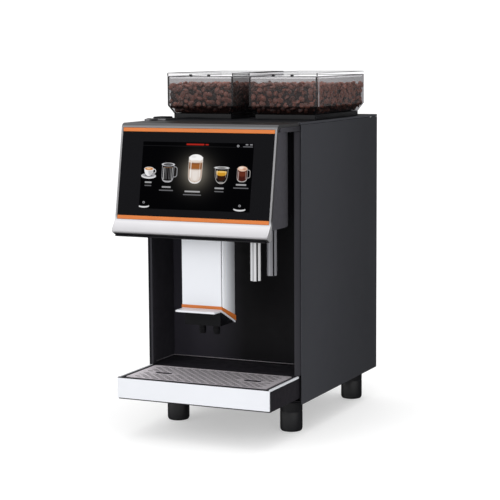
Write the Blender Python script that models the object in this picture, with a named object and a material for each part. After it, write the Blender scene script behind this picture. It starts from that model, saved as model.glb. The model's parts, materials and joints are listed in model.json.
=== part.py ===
"""A counter-top bean-to-cup coffee machine, as an assembly of separate pieces.

Metres, +Z up. The machine faces -Y. The origin is on the counter, at the centre of the overall footprint.
Each object is one physical piece. Each moving group hangs from an empty that sits on its joint's axis.
"""

import math

import bmesh
import bpy
from mathutils import Matrix, Vector

# ---------------------------------------------------------------- driving dimensions
BODY_WIDTH = 0.300
BODY_DEPTH = 0.370
HEAD_REACH = 0.138  # the chin's overhang in front of the body
BODY_BOTTOM = 0.057  # also the height of the feet
BODY_TOP = 0.547
HOPPER_TOP = 0.630
TRAY_REACH = 0.127  # the drip tray's overhang in front of the body
TRAY_TOP = 0.107
CUP_RECESS = 0.090  # how far the splash panel stands behind the body's front
SLANT_RUN = 0.181  # the screen leans: forward travel for each unit of drop

FRONT = HEAD_REACH - (BODY_DEPTH + HEAD_REACH) / 2
REAR = FRONT + BODY_DEPTH
HALF = BODY_WIDTH / 2

SHEET = 0.0012
GAP = 0.0004
TOP_THICKNESS = 0.004
PANEL_TOP = BODY_TOP - TOP_THICKNESS - GAP
POST_TOP = 0.5322
RECESS_CEILING = 0.378
ROUND_STEPS = 20

HEAD_FLOOR = 0.374
HEAD_HALF = 0.148
CHEEK_HALF = 0.147
SKIN = 0.005  # thickness of the silver fascia
HINGE_X, HINGE_Y = -0.138, FRONT - 0.011
HINGE_CORNER = 0.010  # the door's corner is round about the hinge, so that it clears the body

STRIPE_TOP = 0.536  # height of the upper orange strip's centre line
STRIPE_HALF = 0.00325
SCREEN_DROP = 0.1514  # from the upper strip's centre line to the lower one's, along the slant
SLANT = math.atan(SLANT_RUN)

SPOUT_HALF = 0.0375
SPOUT_FRONT, SPOUT_BACK = FRONT - 0.086, FRONT - 0.0295
SPOUT_TOP = 0.412
SPOUT_EDGE, SPOUT_DROP = 0.2355, 0.027  # height of the cover's lower edge at its front, and its fall to the back
SPOUT_WALL = 0.002

HOPPER_OUTER, HOPPER_INNER = 0.148, 0.015
HOPPER_FRONT, HOPPER_BACK = FRONT + 0.078, FRONT + 0.306
HOPPER_RIM = 0.6235
HOPPER_INSET = 0.009
HOPPER_WALL = 0.003
HOPPER_X = (HOPPER_OUTER + HOPPER_INNER) / 2
HOPPER_Y = (HOPPER_FRONT + HOPPER_BACK) / 2

FOOT_X = 0.1125
FOOT_Y = (FRONT + 0.040, FRONT + 0.333)
OUTLET_X = 0.1015
SCREW_X, SCREW_Y = 0.030, FRONT + 0.165
CHAMBER_X, CHAMBER_Y = -0.010, FRONT + 0.142
FAN_X, FAN_Z = -0.085, 0.455

# finish: base colour, roughness, metallic, alpha
FINISHES = {
    "charcoal_paint": ((0.045, 0.045, 0.050), 0.45, 0.0, 1.0),
    "black_plastic": ((0.014, 0.013, 0.016), 0.50, 0.0, 1.0),
    "silver": ((0.80, 0.80, 0.82), 0.25, 0.6, 1.0),
    "white_silver": ((0.86, 0.86, 0.88), 0.35, 0.2, 1.0),
    "orange": ((0.80, 0.24, 0.04), 0.40, 0.0, 1.0),
    "black_glass": ((0.008, 0.008, 0.010), 0.05, 0.0, 1.0),
    "steel": ((0.55, 0.54, 0.54), 0.30, 1.0, 1.0),
    "smoked_clear": ((0.30, 0.30, 0.32), 0.05, 0.0, 0.35),
    "clear": ((0.85, 0.86, 0.88), 0.05, 0.0, 0.30),
    "rubber": ((0.012, 0.012, 0.013), 0.60, 0.0, 1.0),
    "board_green": ((0.02, 0.16, 0.06), 0.50, 0.0, 1.0),
    "brass": ((0.70, 0.52, 0.22), 0.30, 1.0, 1.0),
}


# ---------------------------------------------------------------- modelling helpers
def clear_scene():
    for old in list(bpy.data.objects):
        bpy.data.objects.remove(old, do_unlink=True)


def finish_material(finish):
    made = bpy.data.materials.get(finish)
    if made is None:
        colour, roughness, metallic, alpha = FINISHES[finish]
        made = bpy.data.materials.new(finish)
        made.use_nodes = True
        shader = made.node_tree.nodes["Principled BSDF"]
        shader.inputs["Base Color"].default_value = (*colour, 1.0)
        shader.inputs["Roughness"].default_value = roughness
        shader.inputs["Metallic"].default_value = metallic
        shader.inputs["Alpha"].default_value = alpha
    return made


def add_object(name, bm, finish="black_plastic"):
    bmesh.ops.recalc_face_normals(bm, faces=bm.faces)
    mesh = bpy.data.meshes.new(name)
    bm.to_mesh(mesh)
    bm.free()
    mesh.shade_smooth()
    mesh.set_sharp_from_angle(angle=math.radians(35))
    mesh.materials.append(finish_material(finish))
    made = bpy.data.objects.new(name, mesh)
    bpy.context.scene.collection.objects.link(made)
    return made


def block(name, low, high, finish="black_plastic", edge=0.0):
    """A box between two corners, with its edges eased by edge."""
    low, high = Vector(low), Vector(high)
    bm = bmesh.new()
    bmesh.ops.create_cube(bm, size=1.0)
    place = Matrix.Translation((low + high) / 2) @ Matrix.Diagonal((*(high - low), 1.0))
    bmesh.ops.transform(bm, matrix=place, verts=bm.verts)
    if edge:
        bmesh.ops.bevel(bm, geom=bm.edges[:], offset=edge, segments=1, affect="EDGES")
    return add_object(name, bm, finish)


def point_on(axis, pair, along):
    """The 3-D point for a pair of coordinates in the plane across axis, in X, Y, Z order."""
    first, second = pair
    if axis == "X":
        return Vector((along, first, second))
    if axis == "Y":
        return Vector((first, along, second))
    return Vector((first, second, along))


def loft(name, rings, finish="black_plastic"):
    """A closed skin over rings of equal length, capped at the first and the last."""
    bm = bmesh.new()
    loops = [[bm.verts.new(point) for point in ring] for ring in rings]
    count = len(loops[0])
    for below, above in zip(loops, loops[1:]):
        for i in range(count):
            j = (i + 1) % count
            bm.faces.new((below[i], below[j], above[j], above[i]))
    bm.faces.new(loops[0])
    bm.faces.new(loops[-1])
    return add_object(name, bm, finish)


def prism(name, outline, axis, start, end, finish="black_plastic"):
    """A flat outline pushed along an axis."""
    rings = [[point_on(axis, pair, along) for pair in outline] for along in (start, end)]
    return loft(name, rings, finish)


TURN_TO = {
    "Z": Matrix.Identity(4),
    "Y": Matrix.Rotation(-math.pi / 2, 4, "X"),
    "X": Matrix.Rotation(math.pi / 2, 4, "Y"),
}


def turned(name, profile, centre, axis="Z", finish="black_plastic", steps=ROUND_STEPS):
    """A (radius, height) profile spun about an axis. A profile that stays off the axis makes a ring."""
    bm = bmesh.new()
    points = [bm.verts.new((radius, 0.0, height)) for radius, height in profile]
    edges = [bm.edges.new(pair) for pair in zip(points, points[1:])]
    if profile[0][0] > 0:
        edges.append(bm.edges.new((points[-1], points[0])))
    bmesh.ops.spin(
        bm, geom=points + edges, cent=(0, 0, 0), axis=(0, 0, 1), angle=math.tau, steps=steps, use_merge=True
    )
    bmesh.ops.remove_doubles(bm, verts=bm.verts, dist=1e-6)
    bmesh.ops.transform(bm, matrix=Matrix.Translation(centre) @ TURN_TO[axis], verts=bm.verts)
    return add_object(name, bm, finish)


def rod(name, centre, radius, length, axis="Z", finish="black_plastic", steps=ROUND_STEPS):
    """A cylinder that starts at centre and runs along +axis."""
    profile = [(0, 0), (radius, 0), (radius, length), (0, length)]
    return turned(name, profile, centre, axis, finish, steps)


def combine(target, tool, operation):
    modifier = target.modifiers.new(f"{operation.lower()}_{tool.name}", "BOOLEAN")
    modifier.operation = operation
    modifier.object = tool
    tool.hide_render = True
    tool.display_type = "WIRE"
    tool.name = f"tool_{target.name}_{len(target.modifiers)}"
    return target


def cut(target, *tools):
    for tool in tools:
        combine(target, tool, "DIFFERENCE")
    return target


def unite(target, *tools):
    for tool in tools:
        combine(target, tool, "UNION")
    return target


def rounded_rectangle(low, high, radius, steps=3):
    """Corner points of a rectangle between two 2-D corners, each corner an arc."""
    centres = (
        (high[0] - radius, high[1] - radius),
        (low[0] + radius, high[1] - radius),
        (low[0] + radius, low[1] + radius),
        (high[0] - radius, low[1] + radius),
    )
    points = []
    for quarter, (x, y) in enumerate(centres):
        for step in range(steps + 1):
            angle = (quarter + step / steps) * math.pi / 2
            points.append((x + radius * math.cos(angle), y + radius * math.sin(angle)))
    return points


def mirrored(outline):
    """The outline reflected in X, for the left-hand piece of a pair."""
    return [(-x, y) for x, y in outline]


def pivot(name, place, pieces):
    """An empty on a joint's axis that carries the pieces, and their hidden tools, with it."""
    carrier = bpy.data.objects.new(name, None)
    carrier.location = place
    bpy.context.scene.collection.objects.link(carrier)
    followers = set(pieces)
    for piece in pieces:
        followers |= {m.object for m in piece.modifiers if m.type == "BOOLEAN"}
    for follower in followers:
        follower.parent = carrier
        follower.matrix_parent_inverse = Matrix.Translation(-Vector(place))
    return carrier


# ---------------------------------------------------------------- body and chassis
def base_chassis():
    """The steel floor, with upturned sides and a hole for each foot's stud."""
    outer, inner = HALF - SHEET - GAP, HALF - SHEET - GAP - 0.0015
    floor_top, flange_top = BODY_BOTTOM + 0.0025, BODY_BOTTOM + 0.015
    outline = [
        (-outer, BODY_BOTTOM),
        (outer, BODY_BOTTOM),
        (outer, flange_top),
        (inner, flange_top),
        (inner, floor_top),
        (-inner, floor_top),
        (-inner, flange_top),
        (-outer, flange_top),
    ]
    base = prism("base_chassis", outline, "Y", FRONT + 0.002, REAR - 0.009, "steel")
    for x in (-FOOT_X, FOOT_X):
        for y in FOOT_Y:
            cut(base, rod("stud_hole", (x, y, BODY_BOTTOM - 0.002), 0.0048, 0.008))


def feet():
    top = BODY_BOTTOM - 0.0003
    stud_top = BODY_BOTTOM + 0.0030
    profile = [
        (0, 0),
        (0.0175, 0),
        (0.0195, 0.002),
        (0.020, 0.006),
        (0.020, top),
        (0.004, top),
        (0.004, stud_top),
        (0, stud_top),
    ]
    for side, x in (("left", -FOOT_X), ("right", FOOT_X)):
        for end, y in zip(("front", "rear"), FOOT_Y):
            turned(f"foot_{end}_{side}", profile, (x, y, 0), finish="rubber", steps=24)


def tray_cradle():
    """The open-fronted pan in the body that the drip tray slides into."""
    low, high = (-0.1465, FRONT + 0.002, 0.0605), (0.1465, FRONT + 0.098, 0.104)
    cradle = block("tray_cradle", low, high)
    wall, floor = 0.0011, 0.002
    inside_low = (low[0] + wall, low[1] - 0.01, low[2] + floor)
    inside_high = (high[0] - wall, high[1] - floor, high[2] + 0.01)
    cut(cradle, block("cradle_inside", inside_low, inside_high))


def side_panels():
    """Thin painted sides, each with a return flange at the back."""
    flange = 0.012
    outline = [
        (HALF, FRONT),
        (HALF, REAR),
        (HALF - flange, REAR),
        (HALF - flange, REAR - SHEET),
        (HALF - SHEET, REAR - SHEET),
        (HALF - SHEET, FRONT),
    ]
    prism("side_panel_right", outline, "Z", BODY_BOTTOM, PANEL_TOP, "charcoal_paint")
    prism("side_panel_left", mirrored(outline), "Z", BODY_BOTTOM, PANEL_TOP, "charcoal_paint")


def front_posts():
    """Chamfered front posts, each in one piece with the liner of the cup recess behind it."""
    inner, liner, outer = 0.1385, 0.1462, HALF - SHEET - GAP
    proud, thick = 0.006, 0.006
    outline = [
        (inner, FRONT - proud),
        (inner + 0.0015, FRONT - proud),
        (liner - 0.0005, FRONT),
        (outer, FRONT + 0.003),
        (outer, FRONT + CUP_RECESS + 0.002),
        (liner, FRONT + CUP_RECESS + 0.002),
        (liner, FRONT + thick),
        (inner, FRONT + thick),
    ]
    prism("front_post_right", outline, "Z", TRAY_TOP + 0.001, POST_TOP, "charcoal_paint")
    prism("front_post_left", mirrored(outline), "Z", TRAY_TOP + 0.001, POST_TOP, "charcoal_paint")


def splash_panel():
    """One folded sheet: the back of the cup recess, its ceiling, and the bulkhead behind the door."""
    sheet, half = 0.002, 0.1458
    back, bulkhead = FRONT + CUP_RECESS, FRONT + 0.007
    foot = TRAY_TOP + 0.0005
    outline = [
        (back - 0.003, foot),
        (back + sheet, foot),
        (back + sheet, RECESS_CEILING + sheet),
        (bulkhead + sheet, RECESS_CEILING + sheet),
        (bulkhead + sheet, POST_TOP),
        (bulkhead, POST_TOP),
        (bulkhead, RECESS_CEILING),
        (back, RECESS_CEILING),
        (back, foot + 0.0045),
        (back - 0.003, foot + 0.0015),
    ]
    panel = prism("splash_panel", outline, "X", -half, half)
    window_low = (-0.060, bulkhead - 0.01, RECESS_CEILING + 0.020)
    window_high = (0.060, bulkhead + 0.01, POST_TOP - 0.020)
    cut(panel, block("service_window", window_low, window_high))


def top_cover():
    bottom, top = BODY_TOP - TOP_THICKNESS, BODY_TOP
    cover = block("top_cover", (-HALF, FRONT, bottom), (HALF, REAR, top), "charcoal_paint", edge=0.0006)
    for x in (-HOPPER_X, HOPPER_X):
        cut(cover, rod("hopper_hole", (x, HOPPER_Y, bottom - 0.01), 0.028, 0.03, steps=24))


def rear_panel():
    """The back sheet, set in between the side flanges, with vents and cut-outs for the services."""
    half, outer = HALF - 0.012 - 0.0008, REAR - 0.006
    panel = block("rear_panel", (-half, outer - 0.0015, 0.0605), (half, outer, PANEL_TOP), "charcoal_paint")

    def opening(x0, x1, z0, z1):
        cut(panel, block("opening", (x0, outer - 0.01, z0), (x1, outer + 0.01, z1)))

    slot, pitch = 0.004, 0.009
    for row in range(8):
        z = FAN_Z + (row - 3.5) * pitch
        reach = math.sqrt(0.036**2 - (z - FAN_Z) ** 2)
        opening(FAN_X - reach, FAN_X + reach, z - slot / 2, z + slot / 2)
    for row in range(6):
        z = 0.430 + row * pitch
        opening(0.030, 0.120, z - slot / 2, z + slot / 2)
    opening(0.0708, 0.1292, 0.0858, 0.1242)
    cut(panel, rod("inlet_hole", (0.100, outer - 0.01, 0.165), 0.0135, 0.02, "Y"))


def services():
    """What plugs in at the back: mains inlet with its rocker switch, and the water connection."""
    inner, outer = REAR - 0.034, REAR - 0.0048
    inlet = block("mains_inlet", (0.0712, inner, 0.0862), (0.1288, outer, 0.1238), edge=0.0006)
    cut(
        inlet,
        block("rocker_pocket", (0.0740, outer - 0.015, 0.0915), (0.0900, outer + 0.01, 0.1185)),
        block("plug_pocket", (0.0975, outer - 0.018, 0.0950), (0.1240, outer + 0.01, 0.1150)),
    )
    face, depth, mid, reach = REAR - 0.0030, 0.008, 0.105, 0.0115
    outline = [
        (face - depth, mid - reach),
        (face, mid - reach),
        (face - 0.0022, mid),
        (face, mid + reach),
        (face - depth, mid + reach),
    ]
    rocker = prism("power_rocker", outline, "X", 0.0750, 0.0890)
    pivot("power_rocker_axis", (0.082, REAR - 0.008, mid), [rocker])
    profile = [(0.0085, 0), (0.013, 0), (0.013, 0.034), (0.0085, 0.034)]
    turned("water_inlet", profile, (0.100, REAR - 0.0345, 0.165), "Y", "brass")


# ---------------------------------------------------------------- hoppers and grinders
def hopper_rings(side, levels):
    """Rounded rectangles for one hopper, from (height, inset) levels."""
    rings = []
    for height, inset in levels:
        low = (HOPPER_INNER + inset, HOPPER_FRONT + inset)
        high = (HOPPER_OUTER - inset, HOPPER_BACK - inset)
        ring = rounded_rectangle(low, high, max(0.0075 - inset / 3, 0.003))
        rings.append([Vector((side * x, y, height)) for x, y in ring])
    return rings


def hopper(name, side):
    """A smoked clear bin with a chamfered waist, and a spigot that feeds the grinder below."""
    bottom, waist, shoulder = BODY_TOP + GAP, 0.556, 0.571
    wall, inset = HOPPER_WALL, HOPPER_INSET
    levels = [
        (bottom, inset),
        (waist, inset),
        (shoulder, 0.0),
        (HOPPER_RIM, 0.0),
        (HOPPER_RIM, wall),
        (shoulder + 0.001, wall),
        (waist + 0.001, inset + wall),
        (bottom + wall, inset + wall),
    ]
    hopper_bin = loft(name, hopper_rings(side, levels), "smoked_clear")
    place = (side * HOPPER_X, HOPPER_Y, BODY_TOP - 0.0055)
    unite(hopper_bin, rod("spigot", place, 0.026, 0.007, steps=24))
    cut(hopper_bin, rod("outlet", (place[0], place[1], place[2] - 0.01), 0.022, 0.03, steps=24))


def hopper_lid(name, side):
    """A shallow clear cap that rests on the rim, located by a lip, with two small lugs at the front."""
    bottom, top, wall = HOPPER_RIM + GAP, HOPPER_TOP, 0.0025
    lip, lip_inset = 0.004, HOPPER_WALL + 0.0008
    levels = [
        (bottom - lip, lip_inset),
        (bottom, lip_inset),
        (bottom, 0.0),
        (top - 0.0006, 0.0),
        (top, 0.0006),
        (top, 0.0040),
        (top - 0.0002, 0.0045),
        (top - wall, lip_inset + wall),
        (bottom - lip, lip_inset + 0.0018),
    ]
    rings = hopper_rings(side, levels)
    bm = bmesh.new()
    loops = [[bm.verts.new(point) for point in ring] for ring in rings]
    order = [0, 1, 2, 3, 4, 5, 6]
    count = len(loops[0])
    for a, b in list(zip(order, order[1:])) + [(7, 8), (8, 0)]:
        for i in range(count):
            j = (i + 1) % count
            bm.faces.new((loops[a][i], loops[a][j], loops[b][j], loops[b][i]))
    bm.faces.new(loops[6])
    bm.faces.new(loops[7])
    lid = add_object(name, bm, "clear")
    for offset in (-0.018, 0.018):
        x, y = side * HOPPER_X + offset, HOPPER_FRONT
        unite(lid, block("lug", (x - 0.002, y - 0.0012, bottom + 0.0004), (x + 0.002, y + 0.002, bottom + 0.0030)))
    pivot(f"{name}_axis", (side * HOPPER_X, HOPPER_Y, bottom), [lid])


def gear_outline(teeth, root, tip):
    """Saw-like teeth round a disc, as 2-D points about the origin."""
    points = []
    for tooth in range(teeth):
        for share, radius in ((0.0, root), (0.45, tip), (0.62, root)):
            angle = (tooth + share) / teeth * math.tau
            points.append((radius * math.cos(angle), radius * math.sin(angle)))
    return points


def grinder(side_name, side):
    """A burr housing under each hopper, its turning burr on a shaft, and the motor below."""
    x, y = side * HOPPER_X, HOPPER_Y
    bottom, throat, chamber, top = 0.462, 0.0265, 0.034, 0.5395
    ring = [
        (0.006, bottom),
        (0.045, bottom),
        (0.045, top),
        (throat, top),
        (throat, 0.502),
        (chamber, 0.500),
        (chamber, bottom + 0.006),
        (0.006, bottom + 0.006),
    ]
    turned(f"grinder_housing_{side_name}", ring, (x, y, 0), steps=24)
    motor_top = bottom - 0.0025
    motor = turned(
        f"grinder_motor_{side_name}",
        [(0, 0.365), (0.030, 0.365), (0.034, 0.369), (0.034, motor_top - 0.004), (0.012, motor_top), (0, motor_top)],
        (x, y, 0),
        finish="steel",
    )
    cut(motor, rod("shaft_seat", (x, y, motor_top - 0.008), 0.0055, 0.02))
    teeth = [(x + a, y + b) for a, b in gear_outline(12, 0.028, 0.0315)]
    burr = prism(f"burr_{side_name}", teeth, "Z", 0.474, 0.486, "steel")
    cone = [(0, 0.485), (0.024, 0.485), (0.008, 0.497), (0, 0.497)]
    unite(
        burr,
        turned("burr_cone", cone, (x, y, 0), steps=16),
        rod("burr_shaft", (x, y, 0.4535), 0.0045, 0.022, steps=16),
    )
    pivot(f"burr_{side_name}_axis", (x, y, 0.474), [burr])


# ---------------------------------------------------------------- inside the body
def brew_unit():
    """Frame, chamber, and a piston that a lead screw drives down into the chamber."""
    near, far, low, high, plate, half = FRONT + 0.108, FRONT + 0.190, 0.235, 0.455, 0.005, 0.045
    outline = [
        (near, low),
        (far, low),
        (far, high),
        (near, high),
        (near, high - plate),
        (far - plate, high - plate),
        (far - plate, low + plate),
        (near, low + plate),
    ]
    frame = prism("brew_frame", outline, "X", -half, half)
    shelf = 0.336
    unite(frame, block("chamber_shelf", (0.0005 - half, near + 0.001, shelf - 0.004), (half - 0.0005, far - 0.001, shelf)))
    cut(
        frame,
        rod("screw_bores", (SCREW_X, SCREW_Y, low - 0.01), 0.0055, high - low + 0.02),
        rod("chamber_seat", (CHAMBER_X, CHAMBER_Y, shelf - 0.02), 0.0304, 0.04, steps=24),
    )
    ring = [
        (0.0245, 0.300),
        (0.030, 0.300),
        (0.030, shelf + 0.0003),
        (0.0335, shelf + 0.0003),
        (0.0335, shelf + 0.004),
        (0.030, shelf + 0.004),
        (0.030, 0.380),
        (0.0245, 0.380),
    ]
    turned("brew_chamber", ring, (CHAMBER_X, CHAMBER_Y, 0), finish="steel", steps=24)
    screw = rod("brew_screw", (SCREW_X, SCREW_Y, low + 0.001), 0.005, high - low - 0.002, finish="steel")
    unite(screw, prism("screw_head", [(SCREW_X + a, SCREW_Y + b) for a, b in gear_outline(6, 0.008, 0.009)],
                       "Z", low + plate + 0.001, low + plate + 0.005))
    pivot("brew_screw_axis", (SCREW_X, SCREW_Y, low), [screw])
    arm_low, arm_high = 0.415, 0.428
    piston = rod("brew_piston", (CHAMBER_X, CHAMBER_Y, 0.372), 0.0240, 0.012, steps=24)
    unite(
        piston,
        rod("piston_rod", (CHAMBER_X, CHAMBER_Y, 0.380), 0.008, 0.040),
        block("piston_arm", (-0.020, CHAMBER_Y - 0.010, arm_low), (0.041, SCREW_Y + 0.010, arm_high)),
    )
    cut(piston, rod("nut_bore", (SCREW_X, SCREW_Y, 0.400), 0.0056, 0.05))
    pivot("brew_piston_axis", (CHAMBER_X, CHAMBER_Y, 0.372), [piston])
    block("brew_gearmotor", (0.010, FRONT + 0.145, 0.206), (0.044, FRONT + 0.186, low - 0.0005), "steel", edge=0.002)


def grounds_container():
    low, high, wall = (-0.060, FRONT + 0.100, 0.0640), (0.060, FRONT + 0.215, 0.196), 0.002
    bin_box = block("grounds_container", low, high)
    inside_low = (low[0] + wall, low[1] + wall, low[2] + wall)
    cut(bin_box, block("bin_inside", inside_low, (high[0] - wall, high[1] - wall, high[2] + 0.01)))


def water_system():
    """Pump, the pipe up to the coffee boiler, and the steam boiler."""
    x, y = -0.090, FRONT + 0.296
    pump = block("water_pump", (x - 0.030, y - 0.025, 0.0625), (x + 0.030, y + 0.025, 0.110), "steel", edge=0.002)
    unite(pump, rod("pump_head", (x, y, 0.105), 0.018, 0.045))
    boiler = [(0, 0.240), (0.030, 0.240), (0.036, 0.248), (0.036, 0.372), (0.030, 0.380), (0, 0.380)]
    turned("coffee_boiler", boiler, (x, y, 0), finish="steel", steps=24)
    tank = [(0, 0.100), (0.038, 0.100), (0.048, 0.112), (0.048, 0.298), (0.038, 0.310), (0, 0.310)]
    turned("steam_boiler", tank, (-x, y - 0.012, 0), finish="steel", steps=24)
    curve = bpy.data.curves.new("boiler_pipe", "CURVE")
    curve.dimensions = "3D"
    curve.bevel_depth = 0.004
    curve.bevel_resolution = 2
    curve.resolution_u = 8
    curve.use_fill_caps = True
    spline = curve.splines.new("BEZIER")
    spline.bezier_points.add(1)
    for knot, height, shift in zip(spline.bezier_points, (0.1505, 0.2396), (-0.010, 0.016)):
        knot.co = (x + shift, y, height)
        knot.handle_left = (x + shift, y, height - 0.040)
        knot.handle_right = (x + shift, y, height + 0.040)
    curve.materials.append(finish_material("brass"))
    bpy.context.scene.collection.objects.link(bpy.data.objects.new("boiler_pipe", curve))


def control_board():
    face = -0.1389
    board = block("control_board", (face - 0.0016, FRONT + 0.105, 0.100), (face, FRONT + 0.235, 0.330), "board_green")
    for row, (width, height, depth) in enumerate(((0.030, 0.030, 0.010), (0.018, 0.040, 0.014), (0.040, 0.020, 0.008))):
        z = 0.120 + row * 0.060
        y = FRONT + 0.125 + row * 0.015
        unite(board, block("component", (face - 0.0005, y, z), (face + depth, y + width, z + height)))


def cooling_fan():
    """A square fan on the back panel: a drilled housing with a spider, and a bladed rotor."""
    back, thickness, half, bore = REAR - 0.0085, 0.020, 0.040, 0.0375
    front = back - thickness
    housing = block("fan_housing", (FAN_X - half, front, FAN_Z - half), (FAN_X + half, back, FAN_Z + half))
    cut(housing, rod("fan_bore", (FAN_X, front + 0.002, FAN_Z), bore, thickness + 0.01, "Y", steps=28))
    cut(housing, rod("fan_eye", (FAN_X, front - 0.01, FAN_Z), bore - 0.006, 0.02, "Y", steps=28))
    bar, reach = 0.003, half - 0.004
    spider_low, spider_high = (FAN_X - reach, front + 0.0004, FAN_Z - bar), (FAN_X + reach, front + 0.0016, FAN_Z + bar)
    unite(housing, block("spider", spider_low, spider_high))
    hub, tip, blades = 0.015, 0.0355, 7
    outline = []
    for blade in range(blades):
        for share, radius in ((0.0, hub), (0.22, tip), (0.50, tip), (0.60, hub)):
            angle = (blade + share) / blades * math.tau
            outline.append((FAN_X + radius * math.cos(angle), FAN_Z + radius * math.sin(angle)))
    rotor = prism("fan_rotor", outline, "Y", front + 0.005, back - 0.003)
    pivot("fan_rotor_axis", (FAN_X, front, FAN_Z), [rotor])


# ---------------------------------------------------------------- the door: head, screen and outlets
def screen_y(height):
    """Y of the leaning front surface at a height."""
    return FRONT - 0.094 - (STRIPE_TOP - height) * SLANT_RUN


def slant_plate(name, top, bottom, half_width, outer, inner, finish, edge=0.0):
    """A plate parallel to the leaning front. top and bottom run down the slant, outer and inner run into it."""
    plate = block(name, (-half_width, outer, -bottom), (half_width, inner, -top), finish, edge)
    lean = Matrix.Translation((0, screen_y(STRIPE_TOP), STRIPE_TOP)) @ Matrix.Rotation(-SLANT, 4, "X")
    plate.data.transform(lean)
    return plate


def cheek_outline(front, inset):
    """The head seen from above: its cheeks curve in behind, which leaves a finger grip at each side."""
    steps, sweep, tuck, rear = 8, 0.065, 0.027, FRONT - 0.003
    right = []
    for step in range(steps + 1):
        share = step / steps
        x = CHEEK_HALF - inset - tuck * (1 - share) ** 2
        right.append((x, rear - inset - (sweep - inset) * share))
    right.append((CHEEK_HALF - inset, front))
    return right + [(-x, y) for x, y in reversed(right)]


def head_slab_outline(front):
    """The head's full-width top, round about the hinge at its left rear corner."""
    rear = HINGE_Y + HINGE_CORNER
    outline = [(-HEAD_HALF, front), (HEAD_HALF, front), (HEAD_HALF, rear)]
    for step in range(7):
        angle = math.pi / 2 + step / 6 * math.pi / 2
        outline.append((HINGE_X + HINGE_CORNER * math.cos(angle), HINGE_Y + HINGE_CORNER * math.sin(angle)))
    return outline


def head_shell():
    """The dark moulding behind the screen: hollow, open at the front, slotted below for the spout."""
    skin, wall = SKIN + GAP, 0.003
    slab_low, slab_high = POST_TOP + 0.001, BODY_TOP - SKIN - GAP
    rings = [
        [Vector((x, y, z)) for x, y in cheek_outline(screen_y(z) + skin, 0.0)] for z in (HEAD_FLOOR, slab_low + 0.001)
    ]
    shell = loft("head_shell", rings, "charcoal_paint")
    unite(shell, prism("slab", head_slab_outline(screen_y(slab_high) + 2 * skin + 0.001), "Z", slab_low, slab_high))
    inside = [
        [Vector((x, y, z)) for x, y in cheek_outline(screen_y(z) - 0.03, wall)]
        for z in (HEAD_FLOOR + 0.004, slab_low - wall)
    ]
    cut(shell, loft("head_inside", inside))
    lug_low, lug_high = (HINGE_X, HINGE_Y - 0.0048, HEAD_FLOOR), (-0.105, HINGE_Y + 0.0048, HEAD_FLOOR + 0.004)
    unite(
        shell,
        rod("lug_end", (HINGE_X, HINGE_Y, HEAD_FLOOR), 0.0048, 0.004, steps=24),
        block("hinge_lug", lug_low, lug_high),
    )
    slot = 0.0010
    slot_low = (-SPOUT_HALF - slot, SPOUT_FRONT - slot, HEAD_FLOOR - 0.01)
    cut(
        shell,
        block("spout_slot", slot_low, (SPOUT_HALF + slot, SPOUT_BACK + slot, HEAD_FLOOR + 0.01)),
        rod("pin_bore_low", (HINGE_X, HINGE_Y, HEAD_FLOOR - 0.01), 0.0036, 0.02, steps=16),
        rod("pin_bore_high", (HINGE_X, HINGE_Y, slab_low - 0.01), 0.0036, 0.03, steps=16),
    )
    for y in OUTLET_YS:
        cut(shell, rod("outlet_hole", (OUTLET_X, y, HEAD_FLOOR - 0.01), 0.0096, 0.02, steps=24))
    return shell


def fascia_profile(chin):
    """Closed section of the fascia in Y and Z. chin runs from 0 to 1 and sets how far the chin hangs down."""
    bend, arc_steps = 0.010, 6
    chin_top = 0.3835
    arc_centre_z = BODY_TOP - bend
    touch_z = arc_centre_z + bend * math.sin(SLANT)
    arc_centre_y = screen_y(touch_z) + bend * math.cos(SLANT)
    outer = [(HINGE_Y + HINGE_CORNER, BODY_TOP)]
    for step in range(arc_steps + 1):
        angle = math.pi / 2 + step / arc_steps * (math.pi / 2 - SLANT)
        outer.append((arc_centre_y + bend * math.cos(angle), arc_centre_z + bend * math.sin(angle)))
    chin_low = 0.3735 - 0.0195 * chin
    lip_z = 0.3735 - 0.0075 * chin
    outer += [
        (screen_y(chin_top), chin_top),
        (FRONT - 0.1255 - 0.0110 * chin, lip_z + 0.003),
        (FRONT - 0.1265 - 0.0115 * chin, lip_z),
        (FRONT - 0.1245 - 0.0095 * chin, chin_low + 0.0035 * chin),
        (FRONT - 0.1215, chin_low),
    ]
    inner = [
        (screen_y(HEAD_FLOOR) + SKIN, chin_low + 0.0035 * chin),
        (screen_y(HEAD_FLOOR) + SKIN, HEAD_FLOOR),
        (screen_y(arc_centre_z) + SKIN, arc_centre_z),
        (arc_centre_y, BODY_TOP - SKIN),
        (HINGE_Y + HINGE_CORNER, BODY_TOP - SKIN),
    ]
    return outer + inner


def fascia():
    """The silver wrap: top of the head, thin rails beside the screen, and the chin below it."""
    corner, steps = 0.010, 4
    stations = []
    for step in range(steps + 1):
        angle = step / steps * math.pi / 2
        stations.append((HEAD_HALF - corner * (1 - math.sin(angle)), 0.25 + 0.75 * math.cos(angle)))
    stations = [(-x, chin) for x, chin in reversed(stations)] + stations
    rings = [[Vector((x, y, z)) for y, z in fascia_profile(chin)] for x, chin in stations]
    wrap = loft("fascia", rings, "silver")
    window_top, window_bottom = -STRIPE_HALF - GAP, SCREEN_DROP + STRIPE_HALF + GAP
    cut(
        wrap,
        slant_plate("window", window_top, window_bottom, HEAD_HALF - 0.0045, -0.02, 0.02, "silver"),
        rod("fascia_pin_bore", (HINGE_X, HINGE_Y, BODY_TOP - 0.02), 0.0036, 0.04, steps=16),
    )
    corner_low = (HINGE_X - 0.012, HINGE_Y, BODY_TOP - 0.012)
    keep = rod("hinge_round", (HINGE_X, HINGE_Y, BODY_TOP - 0.02), HINGE_CORNER, 0.04, steps=24)
    trim = block("corner_trim", corner_low, (HINGE_X, HINGE_Y + 0.012, BODY_TOP + 0.012))
    cut(wrap, cut(trim, keep))
    return wrap


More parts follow.
